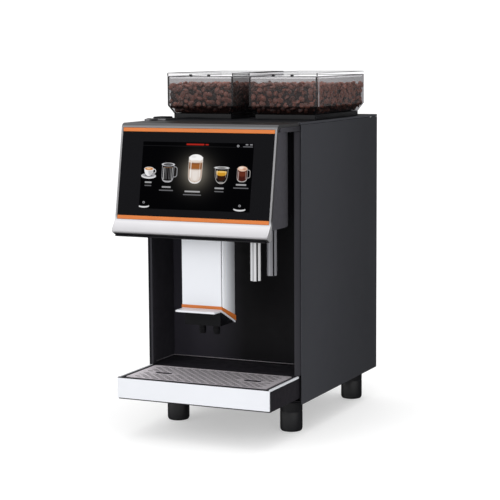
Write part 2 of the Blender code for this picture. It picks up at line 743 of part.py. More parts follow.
def screen_parts():
    half = HEAD_HALF - 0.0045 - GAP
    low_strip = SCREEN_DROP
    return [
        slant_plate("trim_upper", -STRIPE_HALF, STRIPE_HALF, half, 0.0001, 0.0048, "orange"),
        slant_plate("screen_glass", STRIPE_HALF + GAP, low_strip - STRIPE_HALF - GAP, half, 0.0004, 0.0048, "black_glass"),
        slant_plate("trim_lower", low_strip - STRIPE_HALF, low_strip + STRIPE_HALF, half, 0.0001, 0.0048, "orange"),
        slant_plate("display_module", 0.012, 0.142, 0.112, 0.0056, 0.0150, "steel"),
    ]


OUTLET_YS = (FRONT - 0.084, FRONT - 0.0165)


def outlets():
    """Hot water in front, steam behind: plain polished tubes, open below."""
    made = []
    for name, y in zip(("hot_water_outlet", "steam_outlet"), OUTLET_YS):
        tube = [(0.0055, 0.284), (0.0086, 0.284), (0.0090, 0.2845), (0.0090, 0.400), (0.0055, 0.400)]
        made.append(turned(name, tube, (OUTLET_X, y, 0), finish="steel", steps=24))
    return made


def door_catch():
    """A magnet on the body and a steel plate on the back of the door."""
    x0, x1, z0, z1 = 0.090, 0.112, 0.430, 0.470
    block("door_magnet", (x0, FRONT - 0.0006, z0), (x1, FRONT + 0.0066, z1), "steel")
    return block("catch_plate", (x0, FRONT - 0.0026, z0), (x1, FRONT - 0.0011, z1), "steel")


def hinges():
    """Upper plate on the body's top and lower bracket on the left post, each with its pin."""
    low = BODY_TOP + GAP
    plate = block("hinge_plate_upper", (-0.146, FRONT + 0.004, low), (-0.112, FRONT + 0.050, low + 0.003))
    unite(
        plate,
        block("hinge_arm", (-0.146, HINGE_Y - 0.008, low), (-0.129, FRONT + 0.006, low + 0.003)),
        rod("hinge_pin", (HINGE_X, HINGE_Y, BODY_TOP - 0.011), 0.003, 0.0135, steps=16),
        block("hinge_cap", (-0.142, FRONT + 0.012, low + 0.001), (-0.118, FRONT + 0.042, low + 0.0055), edge=0.001),
    )
    top = HEAD_FLOOR - 0.0005
    face = FRONT - 0.0064
    bracket = block("hinge_bracket_lower", (-0.146, HINGE_Y - 0.008, top - 0.003), (-0.1295, face, top))
    unite(
        bracket,
        block("bracket_leg", (-0.146, face - 0.002, top - 0.026), (-0.1395, face, top - 0.001)),
        rod("bracket_pin", (HINGE_X, HINGE_Y, top - 0.002), 0.003, 0.008, steps=16),
    )


# ---------------------------------------------------------------- the spout, which slides up and down
def spout_channel(name, high, low, finish):
    """A U-shaped channel, open behind. high and low give the heights of its ends at a Y."""
    outer, inner = SPOUT_HALF, SPOUT_HALF - SPOUT_WALL
    front_inner = SPOUT_FRONT + SPOUT_WALL
    outline = [
        (-outer, SPOUT_BACK),
        (-outer, SPOUT_FRONT),
        (outer, SPOUT_FRONT),
        (outer, SPOUT_BACK),
        (inner, SPOUT_BACK),
        (inner, front_inner),
        (-inner, front_inner),
        (-inner, SPOUT_BACK),
    ]
    rings = [[Vector((x, y, level(y))) for x, y in outline] for level in (low, high)]
    return loft(name, rings, finish)


def spout_edge(offset):
    """The slanted lower edge of the cover, moved down by offset, as a function of Y."""

    def level(y):
        return SPOUT_EDGE - offset - SPOUT_DROP * (y - SPOUT_FRONT) / (SPOUT_BACK - SPOUT_FRONT)

    return level


def spout():
    cover = spout_channel("spout_cover", lambda y: SPOUT_TOP, spout_edge(0.0), "white_silver")
    trim = spout_channel("spout_trim", spout_edge(GAP), spout_edge(0.0050), "orange")
    lip = spout_channel("spout_lip", spout_edge(0.0054), spout_edge(0.0085), "white_silver")
    shelf_top = SPOUT_EDGE - 0.0060
    shelf_low = (-SPOUT_HALF + 0.0001, FRONT - 0.112, shelf_top - 0.0034)
    shelf_high = (SPOUT_HALF - 0.0001, SPOUT_FRONT + 0.0012, shelf_top)
    unite(lip, block("shelf", shelf_low, shelf_high, edge=0.0008))
    head_low = (-0.034, FRONT - 0.0825, 0.2005)
    nozzle_block = block("spout_block", head_low, (0.034, FRONT - 0.031, 0.2235))
    unite(
        nozzle_block,
        block("column", (-0.013, FRONT - 0.060, 0.2200), (0.013, FRONT - 0.031, 0.440)),
        block("carriage", (-0.018, FRONT - 0.040, 0.418), (0.018, FRONT - 0.0130, 0.4398)),
    )
    cut(nozzle_block, block("rail_groove", (-0.0105, FRONT - 0.0212, 0.410), (0.0105, FRONT - 0.0100, 0.450)))
    rail = block("spout_rail", (-0.010, FRONT - 0.0206, HEAD_FLOOR + 0.0045), (0.010, FRONT - 0.0064, 0.526), "steel")
    for x in (-0.0135, 0.0135):
        nozzle = [(0, 0.182), (0.0050, 0.182), (0.0058, 0.188), (0.0058, 0.2030), (0, 0.2030)]
        unite(nozzle_block, turned("nozzle", nozzle, (x, FRONT - 0.055, 0), steps=16))
        cut(nozzle_block, rod("nozzle_bore", (x, FRONT - 0.055, 0.170), 0.0025, 0.030, steps=16))
    pivot("spout_axis", (0, FRONT - 0.055, SPOUT_EDGE), [cover, trim, lip, nozzle_block])
    return rail


# ---------------------------------------------------------------- drip tray and grate
def drip_tray():
    """A deep tray, open under the grate and roofed behind it, with its silver fascia and the grate."""
    half, front, back = 0.1448, FRONT - TRAY_REACH + 0.0034, FRONT + CUP_RECESS + 0.0045
    low, high = 0.0680, TRAY_TOP - 0.0002
    tray = block("drip_tray", (-half, front, low), (half, back, high))
    wall, floor, rebate = 0.003, 0.003, 0.0033
    grate_half, grate_front, grate_back = 0.1362, front + 0.0046, FRONT - 0.0058
    cut(
        tray,
        block("tray_inside", (-half + wall, front + wall, low + floor), (half - wall, back - wall, 0.1000)),
        block(
            "tray_mouth",
            (-grate_half + 0.005, grate_front + 0.004, 0.090),
            (grate_half - 0.005, grate_back - 0.004, 0.120),
        ),
        block(
            "grate_rebate",
            (-grate_half - GAP, grate_front - GAP, high - rebate),
            (grate_half + GAP, grate_back + GAP, 0.120),
        ),
        block("rail_seat_left", (-0.160, front - 0.01, TRAY_TOP - 0.0040), (-0.1412, FRONT - 0.0005, 0.120)),
        block("rail_seat_right", (0.1412, front - 0.01, TRAY_TOP - 0.0040), (0.160, FRONT - 0.0005, 0.120)),
    )
    plate_front = FRONT - TRAY_REACH
    trim = block("tray_fascia", (-0.145, plate_front, 0.0705), (0.145, plate_front + 0.003, TRAY_TOP), "white_silver")
    for side_low, side_high in ((-0.145, -0.1416), (0.1416, 0.145)):
        rail_low = (side_low, plate_front + 0.001, TRAY_TOP - 0.0036)
        unite(trim, block("side_rail", rail_low, (side_high, FRONT - 0.0009, TRAY_TOP)))
    grate = block(
        "drip_grate",
        (-grate_half, grate_front, high - rebate + 0.0003),
        (grate_half, grate_back, high),
        "steel",
    )
    for x in (-0.088, 0.088):
        cut(grate, block("finger_slot", (x - 0.016, FRONT - 0.068, 0.09), (x + 0.016, FRONT - 0.063, 0.12)))
    rows, columns = 5, 8
    for row in range(rows):
        y = grate_front + (row + 0.5) * (grate_back - grate_front) / rows
        if abs(y - (FRONT - 0.0655)) < 0.006:
            continue
        for column in range(columns):
            x = (column - (columns - 1) / 2) * 0.032
            cut(grate, block("drain_slot", (x - 0.011, y - 0.0015, 0.09), (x + 0.011, y + 0.0015, 0.12)))
    pivot("drip_tray_axis", (0, FRONT - TRAY_REACH, TRAY_TOP), [tray, trim])
    pivot("grate_axis", (0, FRONT - 0.063, TRAY_TOP), [grate])


# ---------------------------------------------------------------- assembly
def build():
    clear_scene()
    base_chassis()
    feet()
    tray_cradle()
    side_panels()
    front_posts()
    splash_panel()
    top_cover()
    rear_panel()
    services()
    for side_name, side in (("left", -1), ("right", 1)):
        hopper(f"hopper_{side_name}", side)
        hopper_lid(f"hopper_lid_{side_name}", side)
        grinder(side_name, side)
    brew_unit()
    grounds_container()
    water_system()
    control_board()
    cooling_fan()
    hinges()
    door = [head_shell(), fascia(), *screen_parts(), *outlets(), door_catch(), spout()]
    pivot("door_axis", (HINGE_X, HINGE_Y, HEAD_FLOOR), door)
    drip_tray()


build()
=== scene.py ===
"""The finished look of a counter-top bean-to-cup coffee machine, built round its CAD frame.

Metres, +Z up, and the machine faces -Y. The frame gives every place; the sizes below are surface details.
"""

import json
import math
import random

import bmesh
import bpy
import numpy as np
from mathutils import Matrix, Vector


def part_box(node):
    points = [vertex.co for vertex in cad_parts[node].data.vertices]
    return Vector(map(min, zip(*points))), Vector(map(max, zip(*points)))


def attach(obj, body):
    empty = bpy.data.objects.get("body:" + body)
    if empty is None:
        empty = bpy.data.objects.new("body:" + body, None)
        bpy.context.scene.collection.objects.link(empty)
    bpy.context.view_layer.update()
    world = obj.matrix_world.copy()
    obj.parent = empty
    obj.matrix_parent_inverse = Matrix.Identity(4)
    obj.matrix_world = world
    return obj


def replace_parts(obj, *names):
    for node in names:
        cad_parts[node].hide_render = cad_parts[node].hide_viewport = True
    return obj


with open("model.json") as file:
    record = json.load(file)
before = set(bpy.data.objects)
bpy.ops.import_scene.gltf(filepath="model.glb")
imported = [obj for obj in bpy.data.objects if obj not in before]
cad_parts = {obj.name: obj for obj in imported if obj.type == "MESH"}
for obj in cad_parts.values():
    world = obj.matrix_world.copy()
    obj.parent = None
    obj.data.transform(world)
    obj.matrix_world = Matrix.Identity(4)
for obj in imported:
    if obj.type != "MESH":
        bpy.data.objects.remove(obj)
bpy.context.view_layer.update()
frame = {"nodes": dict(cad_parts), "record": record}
NODES = frame["nodes"]


# ---------------------------------------------------------------- places taken from the frame
def middle(node):
    low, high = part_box(node)
    return (low + high) / 2


GLASS_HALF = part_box("screen_glass")[1].x
FASCIA_LOW, FASCIA_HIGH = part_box("fascia")
BODY_LOW, BODY_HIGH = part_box("side_panel_right")
TRAY_LOW, TRAY_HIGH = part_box("tray_fascia")
BIN_LOW, BIN_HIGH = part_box("hopper_right")
FRONT, REAR = BODY_LOW.y, BODY_HIGH.y
BODY_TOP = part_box("top_cover")[1].z
HEAD_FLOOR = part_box("head_shell")[0].z
HINGE_PIN = Vector((-0.138, FRONT - 0.011, 0.0))
BIN_WAIST, BIN_SHOULDER = 0.556, 0.571
CHIN_TOP = 0.3835

# the leaning front: a point on it at the upper strip's centre line, and the lower strip's distance from it
SLANT_RUN = 0.181
SLANT = math.atan(SLANT_RUN)
INTO_HEAD = Vector((0, math.cos(SLANT), -math.sin(SLANT)))
DOWN_SCREEN = Vector((0, -math.sin(SLANT), -math.cos(SLANT)))
STRIP_ORIGIN = middle("trim_upper") - INTO_HEAD * 0.00245
STRIP_ORIGIN.x = 0.0
SCREEN_DROP = (middle("trim_lower") - middle("trim_upper")).length


# ---------------------------------------------------------------- materials
EVEN = (1, 1, 1)


def tone(red, green, blue):
    """A linear colour from display steps of 0 to 255."""
    steps = [step / 255 for step in (red, green, blue)]
    return (*(s / 12.92 if s <= 0.04 else ((s + 0.055) / 1.055) ** 2.4 for s in steps), 1.0)


class Nodes:
    """Short ways to add shader nodes to a tree."""

    def __init__(self, tree):
        self.tree = tree

    def node(self, kind, values=None, **settings):
        """A node with its inputs set to numbers, colours or sockets."""
        made = self.tree.nodes.new(f"ShaderNode{kind}")
        for key, value in settings.items():
            setattr(made, key, value)
        for key, value in (values or {}).items():
            if isinstance(value, bpy.types.NodeSocket):
                self.tree.links.new(value, made.inputs[key])
            else:
                made.inputs[key].default_value = value
        return made

    def math(self, operation, *values):
        return self.node("Math", dict(enumerate(values)), operation=operation).outputs[0]

    def remap(self, value, low, high, start=0.3, end=0.7, **settings):
        """From low to high while value runs from start to end."""
        values = {"Value": value, "From Min": start, "From Max": end, "To Min": low, "To Max": high}
        return self.node("MapRange", values, **settings).outputs["Result"]

    def mix(self, share, first, second, colours=False):
        """A socket that runs from first to second, which are numbers, or colours, or sockets."""
        at, kind, out = (6, "RGBA", 2) if colours else (2, "FLOAT", 0)
        return self.node("Mix", {"Factor": share, at: first, at + 1: second}, data_type=kind).outputs[out]


class Finish(Nodes):
    """A Principled material with chains of nodes that vary its colour, roughness and surface."""

    def __init__(self, name, colour, roughness, metallic=0.0, specular=0.5, **inputs):
        self.material = bpy.data.materials.new(name)
        self.material.use_nodes = True
        super().__init__(self.material.node_tree)
        self.shader = self.tree.nodes["Principled BSDF"]
        self.colour = colour
        values = {"Base Color": colour, "Roughness": roughness, "Metallic": metallic,
                  "Specular IOR Level": specular, **inputs}
        for key, value in values.items():
            self.shader.inputs[key].default_value = value
        self.place = self.node("TexCoord").outputs["Object"]

    def feed(self, key, socket):
        self.tree.links.new(socket, self.shader.inputs[key])
        return self

    def noise(self, per_metre, detail=3.0, stretch=EVEN):
        place = self.node("Mapping", {"Vector": self.place, "Scale": stretch}).outputs["Vector"]
        return self.node("TexNoise", {"Vector": place, "Scale": per_metre, "Detail": detail}).outputs["Fac"]

    def cells(self, per_metre):
        """Distance from the middle of the nearest of many small cells."""
        return self.node("TexVoronoi", {"Vector": self.place, "Scale": per_metre}).outputs["Distance"]

    def axis(self, name, normal=False):
        """The X, Y or Z of a point's place or of its normal."""
        source = self.node("NewGeometry").outputs["Normal"] if normal else self.place
        return self.node("SeparateXYZ", {0: source}).outputs[name]

    def glancing(self, start, end):
        """From 0 where the surface faces the eye to 1 at a glancing angle."""
        facing = self.node("LayerWeight", {"Blend": 0.5}).outputs["Facing"]
        return self.remap(facing, 0.0, 1.0, start, end)

    def from_gap_wall(self):
        """Distance to the left bin's inner wall, which the photo shows darker."""
        return self.math("ABSOLUTE", self.math("ADD", self.axis("X"), BIN_LOW.x))

    def tint(self, amount):
        """Scales the base colour by a socket."""
        base = self.colour[:3] if isinstance(self.colour, tuple) else self.colour
        self.colour = self.node("VectorMath", {0: base, "Scale": amount}, operation="SCALE").outputs["Vector"]
        return self.feed("Base Color", self.colour)

    def shade(self, axis, low, high, start, end, normal=False):
        """Scales the base colour from low to high between two places on an axis, or two leans of the face."""
        return self.tint(self.remap(self.axis(axis, normal), low, high, start, end))

    def mottle(self, per_metre, low, high, detail=3.0, stretch=EVEN):
        return self.tint(self.remap(self.noise(per_metre, detail, stretch), low, high))

    def rough(self, per_metre, low, high, detail=3.0, stretch=EVEN):
        return self.feed("Roughness", self.remap(self.noise(per_metre, detail, stretch), low, high))

    def blend_to(self, steps, amount):
        """Moves the base colour towards one given in display steps."""
        self.colour = self.mix(amount, self.colour, tone(*steps), colours=True)
        return self.feed("Base Color", self.colour)

    def edge_highlight(self, steps, radius, strength):
        """Edges a little lighter: a painted highlight along them."""
        eased = self.node("Bevel", {"Radius": radius}, samples=4).outputs["Normal"]
        true = self.node("NewGeometry").outputs["Normal"]
        match = self.node("VectorMath", {0: eased, 1: true}, operation="DOT_PRODUCT").outputs["Value"]
        return self.blend_to(steps, self.remap(match, strength, 0.0, 0.8, 0.99))

    def grain(self, per_metre, depth, strength=1.0, detail=2.0, stretch=EVEN):
        """Fine relief over the whole surface."""
        values = {"Height": self.noise(per_metre, detail, stretch), "Distance": depth, "Strength": strength}
        return self.feed("Normal", self.node("Bump", values).outputs["Normal"])


def clear_sheet(name, tint, edge_tint, gloss, haze_and_sheen=0.0, behind=None):
    """Thin transparent plastic: light passes with a tint, deeper at glancing angles, under a soft shine.

    With behind, the second sheet that a line of sight meets has that tint, and any later one is clear, so
    that walls seen through each other keep an even grey.
    """
    made = Finish(name, (*tint, 1.0), 0.06, Alpha=1.0)

    def blend(share, *colours):
        first, second = [(*c, 1.0) if isinstance(c, tuple) else c for c in colours]
        return made.mix(share, first, second, colours=True)

    facing = made.node("LayerWeight", {"Blend": 0.55}).outputs["Facing"]
    colour = blend(made.remap(facing, 0.0, 1.0, 0.55, 1.0), tint, edge_tint)
    passed = made.node("LightPath").outputs["Transparent Depth"]
    # painted shade: the tint darkens near the left bin's inner wall, which the right bin shades, on the first
    # sheet met only
    gap_wall_shade = made.remap(made.from_gap_wall(), 0.42, 1.0, 0.0003, 0.0008)
    gap = made.math("MAXIMUM", gap_wall_shade, made.remap(passed, 0.42, 1.0, 0.4, 0.6))
    colour = made.node("VectorMath", {0: colour, "Scale": gap}, operation="SCALE").outputs["Vector"]
    first = 1.0
    if behind:
        first = made.remap(passed, 1.0, 0.0, 0.4, 0.6)
        later = blend(made.remap(passed, 0.0, 1.0, 1.4, 1.6), behind, (1.0, 1.0, 1.0))
        colour = blend(first, later, colour)
    through = made.node("BsdfTransparent", {"Color": colour})
    gloss_grain = made.remap(made.noise(35, 4.0), 0.03, 0.12)
    shine = made.node("BsdfGlossy", {"Color": (0.9, 0.9, 0.92, 1.0), "Roughness": gloss_grain})
    fresnel = made.node("Fresnel", {"IOR": 1.49}).outputs["Fac"]
    share = made.math("MULTIPLY", made.math("MULTIPLY", fresnel, gloss), first)
    # partly haze of the plastic and partly painted sheen: a pale diffuse veil on the walls only above the
    # shoulder, on the first sheet met, leaving the sloped foot darker
    veil = made.node("BsdfDiffuse", {"Color": (0.58, 0.54, 0.54, 1.0)})
    upper = made.remap(made.axis("Z"), 0.0, 1.0, BIN_SHOULDER - 0.0007, BIN_SHOULDER + 0.0003)
    thick = made.math("MULTIPLY", made.remap(made.noise(18, 3.0), haze_and_sheen * 0.8, haze_and_sheen * 1.2), upper)
    thick = made.math("MULTIPLY", thick, first)
    film = made.node("MixShader", {0: thick, 1: through.outputs[0], 2: veil.outputs[0]})
    mixed = made.node("MixShader", {0: share, 1: film.outputs[0], 2: shine.outputs[0]})
    made.tree.links.new(mixed.outputs[0], made.tree.nodes["Material Output"].inputs["Surface"])
    return made


def polished_tube(name, steps):
    """Polished steel with painted reflections: the lighter and darker lines that a round tube picks up along
    its length, set by which way the surface faces the camera.
    """
    f = Finish(name, tone(*steps), 0.16, 0.35)
    source = f.node("NewGeometry").outputs["Normal"]
    turned = f.node("VectorTransform", {"Vector": source}, convert_to="CAMERA", vector_type="NORMAL")
    across = f.node("SeparateXYZ", {0: turned.outputs[0]}).outputs["X"]
    painted_reflections = ((-0.45, 0.06, 0.22, (170, 170, 174)), (0.3, 0.12, 0.2, (22, 22, 26)),
               (-1.1, 0.1, 0.28, (96, 96, 100)), (1.1, 0.1, 0.22, (96, 96, 100)))
    for at, inner, outer, shade in painted_reflections:
        f.blend_to(shade, f.remap(f.math("ABSOLUTE", f.math("SUBTRACT", across, at)), 1.0, 0.0, inner, outer))
    return f.mottle(60, 0.97, 1.02, 2.0, (1, 1, 0.1)).rough(400, 0.12, 0.22, 3.0, (1, 1, 0.05))


def silver_lacquer():
    """Silver lacquer with painted light: a painted reflection, lighter down the chin; painted shade on the
    rim round the glass, on the flat top and on faces that look down.
    """
    f = Finish("silver_lacquer", tone(214, 213, 216), 0.3, 0.6)
    f.mottle(14, 0.98, 1.02, 1.0).rough(10, 0.28, 0.33, 1.0)
    height, lean, across = f.axis("Z"), f.axis("Z", True), f.axis("X", True)
    # painted reflection and shade: the chin darkens towards its foot, the frame round the glass is darker,
    # most where it turns sideways, the rim and flat top darken at glancing angles and away from the left end,
    # and faces that look down are darker
    chin = f.remap(height, 0.8, 1.16, FASCIA_LOW.z + 0.012, CHIN_TOP)
    sideways = f.remap(f.math("ABSOLUTE", across), 1.0, 0.34, 0.3, 0.75)
    frame_shade = f.math("MULTIPLY", sideways, 0.44)
    f.tint(f.mix(f.remap(height, 0.0, 1.0, CHIN_TOP - 0.004, CHIN_TOP + 0.006), chin, frame_shade))
    top_face_shade = f.mix(f.glancing(0.35, 0.85), 1.0, f.remap(f.axis("X"), 0.55, 0.07, -0.145, -0.085))
    rim = f.mix(f.remap(lean, 0.0, 1.0, 0.8, 0.97), f.remap(lean, 1.0, 0.34, 0.18, 0.7), top_face_shade)
    f.tint(f.mix(f.remap(height, 0.0, 1.0, FASCIA_HIGH.z - 0.022, FASCIA_HIGH.z - 0.016), 1.0, rim))
    return f.tint(f.remap(lean, 0.12, 1.0, -0.82, -0.45))


POWDER = ((5, 0.97, 1.03), (9, 0.46, 0.54), (2600, 0.00006, 0.5))
SATIN, FINE = (3800, 0.00005, 0.45), (3200, 0.00005, 0.45)
BRUSHED_X, DRAWN_Z, TURNED_Z = (0.02, 1, 1), (1, 1, 0.03), (1, 1, 0.05)
BRUSHED_GRAIN = (1500, 0.00002, 0.5, 3.0, (0.015, 1, 1))

# Plain finishes by material slot or use: material name, display colour, roughness, metallic, specular level,
# then what mottle, rough and grain are given.
PLAIN = {
    "charcoal_paint": ("powder_coat", (60, 61, 66), 0.5, 0.0, 0.25, *POWDER),
    "shaded_side_coat": ("powder_coat_side_shaded", (59, 60, 65), 0.5, 0.0, 0.25, *POWDER),
    "shaded_top_coat": ("powder_coat_top_shaded", (60, 61, 66), 0.5, 0.0, 0.15, *POWDER),
    "charcoal_plastic": ("charcoal_moulding", (56, 54, 60), 0.45, 0.0, 0.25, (9, 0.92, 1.08), (80, 0.38, 0.5),
                         SATIN),
    "shaded_head_moulding": ("shaded_head_moulding", (60, 59, 64), 0.45, 0.0, 0.25, (9, 0.95, 1.05), (80, 0.38, 0.5),
                      SATIN),
    # painted shade: a darker copy of the charcoal moulding for the front posts and their caps
    "shaded_post_moulding": ("shaded_post_moulding", (49, 48, 53), 0.5, 0.0, 0.2, (9, 0.94, 1.06), (80, 0.42, 0.54), SATIN),
    "black_plastic": ("black_moulding", (21, 20, 24), 0.45, 0.0, 0.3, (8, 0.9, 1.1), (70, 0.36, 0.52), FINE),
    "lit_recess_liner": ("lit_recess_liner", (21, 20, 24), 0.5, 0.0, 0.16, (8, 0.94, 1.06), (70, 0.36, 0.52), FINE),
    "tray_moulding": ("tray_moulding", (35, 33, 38), 0.5, 0.0, 0.3, (8, 0.92, 1.08), (70, 0.42, 0.56), FINE),
    # painted shade: a darker copy of the black moulding for the nozzle block and collars, which sit in shade
    "shaded_nozzle_moulding": ("shaded_nozzle_moulding", (12, 12, 15), 0.5, 0.0, 0.2, (12, 0.85, 1.15), (70, 0.42, 0.56)),
    "white_silver": ("pearl_lacquer", (226, 228, 233), 0.36, 0.15, 0.5, (10, 0.98, 1.01),
                     (12, 0.33, 0.39, 1.0)),
    "shaded_pearl_side": ("shaded_pearl_side", (226, 228, 233), 0.36, 0.15, 0.5, (10, 0.98, 1.01), (50, 0.32, 0.42)),
    "orange_trim": ("orange_satin", (194, 106, 40), 0.4, 0.0, 0.5, (30, 0.96, 1.05), (120, 0.34, 0.46),
                    (3000, 0.00003, 0.4)),
    "screen_glass": ("cover_glass", (9, 9, 12), 0.05, 0.0, 0.075, (4, 0.94, 1.06), (25, 0.03, 0.09)),
    "display_metal": ("display_case", (150, 150, 154), 0.35, 1.0, 0.5, (12, 0.9, 1.1),
                      (300, 0.28, 0.45, 3.0, BRUSHED_X)),
    "brushed_stainless": ("brushed_stainless", (176, 172, 176), 0.34, 1.0, 0.5,
                          (900, 0.86, 1.1, 4.0, BRUSHED_X), (700, 0.26, 0.44, 4.0, BRUSHED_X), BRUSHED_GRAIN),
    "grate": ("perforated_plate", (206, 200, 205), 0.42, 0.35, 0.5, (900, 0.84, 1.08, 4.0, BRUSHED_X),
              (700, 0.36, 0.5, 4.0, BRUSHED_X), BRUSHED_GRAIN),
    "boiler_steel": ("drawn_steel", (190, 186, 182), 0.3, 1.0, 0.5, (500, 0.88, 1.08, 3.0, DRAWN_Z),
                     (300, 0.22, 0.4, 3.0, DRAWN_Z)),
    "brass": ("machined_brass", (206, 172, 104), 0.28, 1.0, 0.5, (40, 0.9, 1.06),
              (600, 0.2, 0.36, 3.0, TURNED_Z)),
    "motor_case": ("motor_enamel", (58, 60, 66), 0.42, 0.2, 0.5, (25, 0.88, 1.12), (90, 0.34, 0.5),
                   (1800, 0.00006, 0.5)),
    "foot_rubber": ("foot_rubber", (22, 22, 25), 0.4, 0.0, 0.5, (20, 0.88, 1.12), (200, 0.32, 0.44),
                    (2200, 0.00004, 0.4)),
    "smoked_base": ("smoked_base", (24, 24, 26), 0.2, 0.0, 0.2, (30, 0.85, 1.15), (60, 0.12, 0.24)),
    "glint": ("bright_edge", (168, 160, 162), 0.15, 0.0, 0.5, (60, 0.85, 1.05), (90, 0.1, 0.22)),
    "seal": ("grey_seal", (92, 92, 96), 0.5, 0.0, 0.5, (60, 0.9, 1.1), (200, 0.45, 0.6), (2600, 0.00005)),
    "bead": ("bead_grey", (150, 146, 150), 0.35, 0.5, 0.5, (80, 0.92, 1.06), (200, 0.3, 0.45)),
    "screw": ("black_oxide", (34, 34, 37), 0.35, 0.8, 0.5, (700, 0.85, 1.15), (400, 0.28, 0.45)),
    "hose": ("silicone_hose", (206, 202, 192), 0.4, 0.0, 0.5, (40, 0.92, 1.06), (120, 0.32, 0.5)),
    "red_wire": ("red_wire", (168, 40, 34), 0.42, 0.0, 0.5, (200, 0.9, 1.1), (300, 0.36, 0.5)),
    "blue_wire": ("blue_wire", (44, 78, 150), 0.42, 0.0, 0.5, (200, 0.9, 1.1), (300, 0.36, 0.5)),
}


def plain_finish(name, steps, roughness, metallic, specular, mottle, rough, grain=None):
    f = Finish(name, tone(*steps), roughness, metallic, specular).mottle(*mottle).rough(*rough)
    return f.grain(*grain) if grain else f


def make_finishes():
    """Every finish, by the record's material slot or by its use here."""
    made = {key: plain_finish(*row) for key, row in PLAIN.items()}
    # painted shade: the side panels darken towards the rear
    made["shaded_side_coat"].shade("Y", 0.97, 0.68, FRONT + 0.05, REAR - 0.05)
    # painted light and shade: the head's sides are lighter at the front and darker towards the rear
    made["shaded_head_moulding"].shade("Y", 1.25, 0.62, FRONT - 0.085, FRONT - 0.01)
    # painted highlight and shade: the spout's sides are lighter at the front and darker towards the rear
    made["shaded_pearl_side"].shade("Y", 1.55, 0.4, FRONT - 0.079, FRONT - 0.026)
    # painted light: the grate is lighter towards its left end
    made["grate"].shade("X", 1.6, 0.98, -0.136, 0.11)
    # painted light and shade: the recess lining is lighter towards its left wall and its right side, lighter
    # still on faces that look right, and darker in the middle
    made["lit_recess_liner"].shade("X", 6.0, 0.42, -0.145, 0.0).shade("X", 1.0, 2.5, 0.03, 0.12)
    made["lit_recess_liner"].shade("X", 1.0, 3.0, 0.3, 0.9, normal=True)
    # painted shade: the top cover darkens where it is seen at a glancing angle
    f = made["shaded_top_coat"]
    f.tint(f.mix(f.glancing(0.7, 0.95), 1.0, 0.22))
    # painted highlight along the edges of these finishes
    for key, steps, radius, strength in (("charcoal_paint", (96, 97, 102), 0.0008, 0.6),
                                         ("shaded_side_coat", (96, 97, 102), 0.0008, 0.6),
                                         ("charcoal_plastic", (88, 88, 92), 0.0006, 0.4),
                                         ("shaded_head_moulding", (88, 88, 92), 0.0006, 0.4),
                                         ("motor_case", (150, 150, 152), 0.0008, 0.6)):
        made[key].edge_highlight(steps, radius, strength)
    made["brushed_stainless"].shader.inputs["Anisotropic"].default_value = 0.5
    made["hose"].shader.inputs["Subsurface Weight"].default_value = 0.1
    made["silver_paint"] = silver_lacquer()
    made["polished_steel"] = polished_tube("polished_steel", (236, 236, 238))
    # painted shade: a darker copy of the polished steel for the steam tube, which sits in shade
    made["shaded_steam_tube"] = polished_tube("steam_tube_steel", (148, 148, 153))
    made["smoked_clear"] = clear_sheet("smoked_polycarbonate", (0.64, 0.63, 0.64), (0.4, 0.4, 0.42),
                                       gloss=0.36, haze_and_sheen=0.06, behind=(0.46, 0.455, 0.46))
    made["clear_plastic"] = clear_sheet("clear_polycarbonate", (0.985, 0.985, 0.99), (0.86, 0.86, 0.87), 0.12)
    f = made["zinc_steel"] = Finish("zinc_plate", tone(150, 152, 156), 0.38, 1.0)
    f.tint(f.remap(f.cells(260), 0.86, 1.08, 0.0, 1.0)).rough(120, 0.3, 0.48)
    f = made["board_green"] = Finish("solder_mask", tone(22, 92, 52), 0.4)
    f.blend_to((52, 132, 80), f.remap(f.cells(420), 1.0, 0.0, 0.0, 0.18)).rough(200, 0.3, 0.5)
    f = made["jacket"] = Finish("foam_jacket", tone(66, 66, 70), 0.85)
    f.tint(f.remap(f.cells(380), 0.75, 1.15, 0.0, 1.0)).grain(700, 0.0004, detail=4.0)
    f = made["beans"] = Finish("roasted_bean", tone(142, 86, 70), 0.26, specular=0.9)
    # painted shade: the beans darken below the bin's shoulder, behind its sloped foot, and near the left
    # bin's inner wall, which the right bin shades
    f.shade("Z", 0.3, 1.0, 0.5675, 0.5725).mottle(110, 0.45, 1.55, 1.0)
    f.tint(f.remap(f.from_gap_wall(), 0.55, 1.0, 0.004, 0.011)).mottle(900, 0.82, 1.18)
    f.rough(300, 0.2, 0.36).grain(1500, 0.0001)
    f = made["bean_shadow"] = Finish("bean_shadow", tone(44, 21, 15), 0.7)
    f.mottle(120, 0.6, 1.4).grain(400, 0.0006, detail=3.0)
    return made


FINISHES = make_finishes()


def paint(obj, finish):
    """Gives the object one finish: a key of FINISHES, or a Finish of its own."""
    obj.data.materials.clear()
    obj.data.materials.append(finish.material if isinstance(finish, Finish) else FINISHES[finish].material)
    return obj


# ---------------------------------------------------------------- carried-over CAD nodes
OWN_FINISH = {
    "side_panel_left": "shaded_side_coat", "side_panel_right": "shaded_side_coat", "top_cover": "shaded_top_coat",
    "head_shell": "shaded_head_moulding", "front_post_left": "shaded_post_moulding", "front_post_right": "shaded_post_moulding",
    "base_chassis": "screw", "splash_panel": "lit_recess_liner", "drip_tray": "tray_moulding",
    "spout_block": "shaded_nozzle_moulding",
}
OWN_EASE = {"screen_glass": 0.0003, "trim_upper": 0.0003, "trim_lower": 0.0003, "spout_lip": 0.0006}


